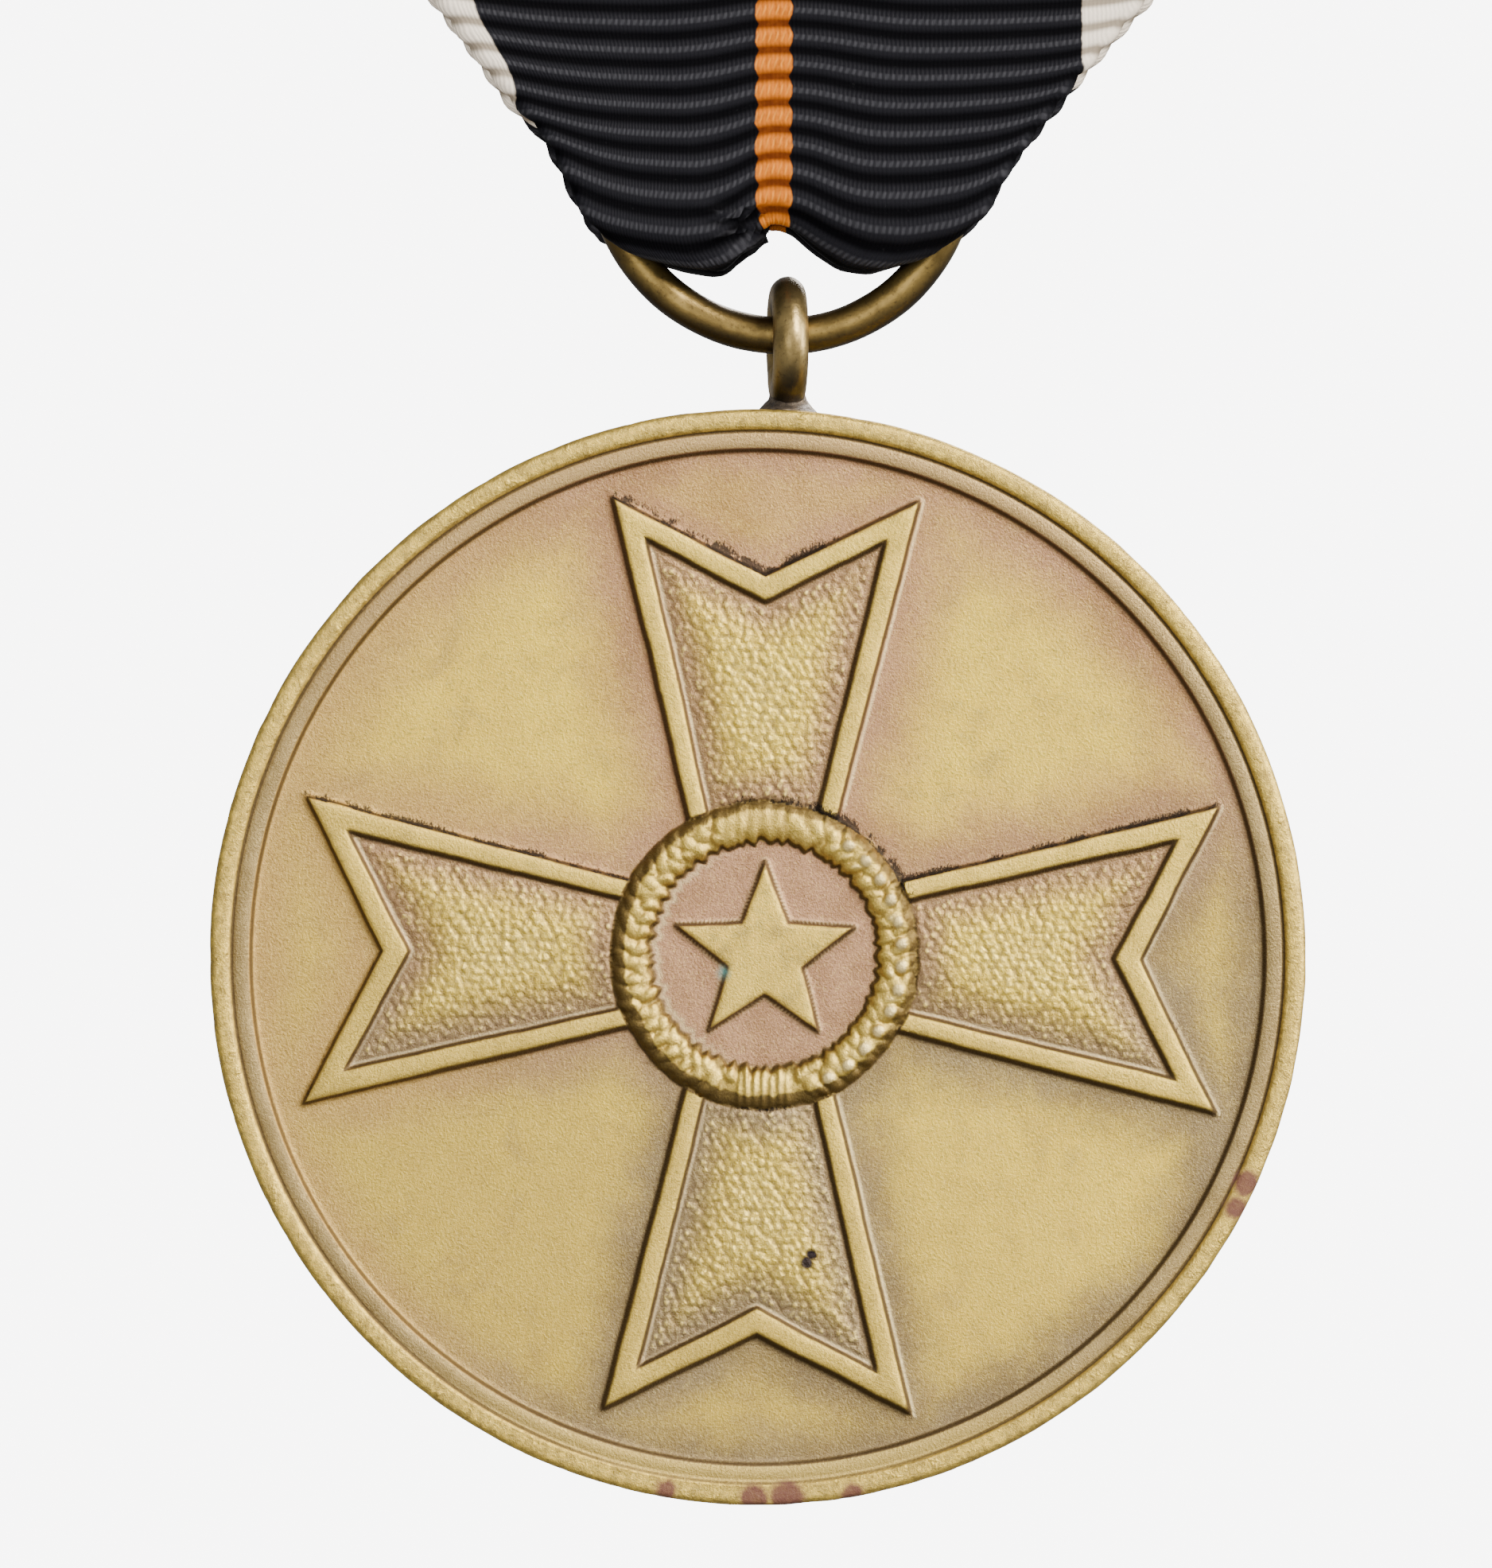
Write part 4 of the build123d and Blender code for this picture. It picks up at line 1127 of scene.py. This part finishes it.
def brass_material():
    m = Nodes("tarnished brass")
    color = m.mottle(m.noise(0.5, 4.0, 0.6), 0.36, 0.64, tone(0.50, 0.34, 0.085), tone(0.26, 0.165, 0.045))
    color = m.wash(color, m.ramp(m.noise(8.0, 4.0, 0.7), 0.58, 0.72), 0.5, tone(0.09, 0.058, 0.024))
    streak = m.noise(6.0, 3.0, 0.6, m.stretch(m.mm, 0.15, 1.0, 1.0))
    return m.finish(color, 0.95, m.math("MULTIPLY_ADD", streak, 0.2, 0.28), m.bump(streak, 0.10, 0.00004))


def steel_material():
    m = Nodes("drawn steel wire")
    color = m.mottle(m.noise(0.8, 4.0, 0.6), 0.5, 0.72, tone(0.48, 0.47, 0.45), tone(0.20, 0.16, 0.12))
    drawn = m.noise(7.0, 4.0, 0.65, m.stretch(m.mm, 0.06, 1.0, 1.0))
    return m.finish(color, 0.97, m.math("MULTIPLY_ADD", drawn, 0.18, 0.22), m.bump(drawn, 0.15, 0.00003))


# ---- Assembly ------------------------------------------------------------------------------------
brass = brass_material()
steel = steel_material()
ring_bronze = wire_material("ring bronze", tone(0.19, 0.126, 0.038), tone(0.33, 0.222, 0.066),
                            tone(0.055, 0.035, 0.014), seed=3.0, gloss=0.27)
eyelet_bronze = wire_material("eyelet bronze", tone(0.26, 0.183, 0.068), tone(0.45, 0.320, 0.122),
                              tone(0.070, 0.048, 0.022), seed=9.0, gloss=0.26)

disc = build_disc(medal_material())
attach(disc, "medal")
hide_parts("medal_disc")

eyelet = build_eyelet(eyelet_bronze)
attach(eyelet, "medal")
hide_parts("eyelet")

fillet = build_solder(solder_material())
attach(fillet, "medal")
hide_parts("eyelet_solder")

ring = build_ring(ring_bronze)
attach(ring, "ring")
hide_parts("suspension_ring")

ribbon, ribbon_length = build_ribbon(ribbon_material())
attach(ribbon, "ribbon")
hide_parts("ribbon")

for node, width in (("brooch_rod", 0.06), ("hinge_bracket", 0.1), ("catch_bracket", 0.1)):
    piece = bevelled(node, width, brass)
    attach(piece, "brooch")
    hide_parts(node)
rivet = bevelled("hinge_rivet", 0.08, steel)
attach(rivet, "brooch")
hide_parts("hinge_rivet")

for node, material, slot_name in (("brooch_pin", steel, "pin_steel"),
                                  ("seam_stitches", thread_material(), "seam_thread")):
    piece = frame["nodes"][node]
    piece.data.materials.clear()
    piece.data.materials.append(material)

# ---- Stage, light and camera, in metres ----------------------------------------------------------
FLOOR_Z = -0.14
SWEEP_START, SWEEP_R, WALL_TOP = 1.1, 0.5, 2.6  # where the floor starts to curve up, and how
STAGE_FRONT, STAGE_HALF, STAGE_GLOW = -3.0, 4.0, 7.4
GROUND_FILL, GROUND_SEEN = 0.30, 7.9  # how bright the world is as a light, and to the camera


def build_stage():
    """A glowing pale sheet under and behind the object, which gives it neither light nor reflections."""
    profile = [(STAGE_FRONT, FLOOR_Z), (SWEEP_START, FLOOR_Z)]
    for i in range(1, 13):
        a = pi / 2 * i / 12
        profile.append((SWEEP_START + SWEEP_R * sin(a), FLOOR_Z + SWEEP_R * (1 - cos(a))))
    profile.append((SWEEP_START + SWEEP_R, WALL_TOP))
    verts = [(x, y, z) for y, z in profile for x in (-STAGE_HALF, STAGE_HALF)]
    faces = [(2 * i, 2 * i + 1, 2 * i + 3, 2 * i + 2) for i in range(len(profile) - 1)]
    m = Nodes("pale paper")
    paper = m.noise(0.9, 5.0, 0.6)
    color = m.mottle(paper, 0.3, 0.7, tone(0.13, 0.128, 0.126), tone(0.12, 0.118, 0.116))
    material = m.finish(color, 0.0, 0.9, m.bump(paper, 0.05, 0.0002),
                        Emission_Color=tone(1.0, 0.995, 0.99), Emission_Strength=STAGE_GLOW)
    stage = new_mesh("stage", verts, faces, material)
    stage.visible_glossy = False
    stage.visible_diffuse = False


def build_world():
    """A pale wall to look at, which gives the object only a soft fill."""
    world = bpy.data.worlds.new("studio")
    bpy.context.scene.world = world
    world.use_nodes = True
    room = world.node_tree.nodes["Background"]
    room.inputs["Color"].default_value = tone(1.0, 1.0, 1.0)
    path = world.node_tree.nodes.new("ShaderNodeLightPath")
    level = world.node_tree.nodes.new("ShaderNodeMapRange")
    level.inputs["To Min"].default_value = GROUND_FILL
    level.inputs["To Max"].default_value = GROUND_SEEN
    world.node_tree.links.new(path.outputs["Is Camera Ray"], level.inputs["Value"])
    world.node_tree.links.new(level.outputs["Result"], room.inputs["Strength"])


def area_light(name, place, size, power, color=(1.0, 1.0, 1.0)):
    """A round lamp turned towards the object's middle."""
    data = bpy.data.lights.new(name, "AREA")
    data.shape = "DISK"
    data.size = size
    data.energy = power
    data.color = color
    light = bpy.data.objects.new(name, data)
    bpy.context.scene.collection.objects.link(light)
    light.location = place
    middle = Vector((0.0, CHAIN_Y * MM, -0.055))
    light.rotation_euler = (middle - Vector(place)).to_track_quat("-Z", "Y").to_euler()
    return light


build_stage()
build_world()
area_light("key", (0.42, -0.42, 0.28), 0.36, 9.4, (1.0, 0.98, 0.95))
area_light("front", (-0.12, -0.75, 0.05), 0.55, 1.6)
area_light("side", (0.62, -0.06, 0.02), 0.30, 2.4)
area_light("back", (0.35, 0.9, 0.5), 0.5, 9.0)
# The cloth needs more light than the metal, which doesn't mirror this lamp
cloth_fill = area_light("cloth_fill", (-0.25, -1.1, -0.35), 1.2, 68.0)
cloth_fill.visible_glossy = False

VIEW_WIDTH = 43.50  # across the picture at the disc's face
VIEW_X = -0.79
VIEW_Z = DISC_Z + 5.05
DISTANCE = 420.0
camera_data = bpy.data.cameras.new("camera")
camera_data.sensor_fit = "HORIZONTAL"
camera_data.sensor_width = 36.0
camera_data.lens = camera_data.sensor_width * DISTANCE / VIEW_WIDTH
camera_data.clip_start = 0.01
camera = bpy.data.objects.new("camera", camera_data)
bpy.context.scene.collection.objects.link(camera)
camera.location = (VIEW_X * MM, (CHAIN_Y - HALF_THICK - DISTANCE) * MM, VIEW_Z * MM)
camera.rotation_euler = (radians(90), 0, 0)
bpy.context.scene.camera = camera
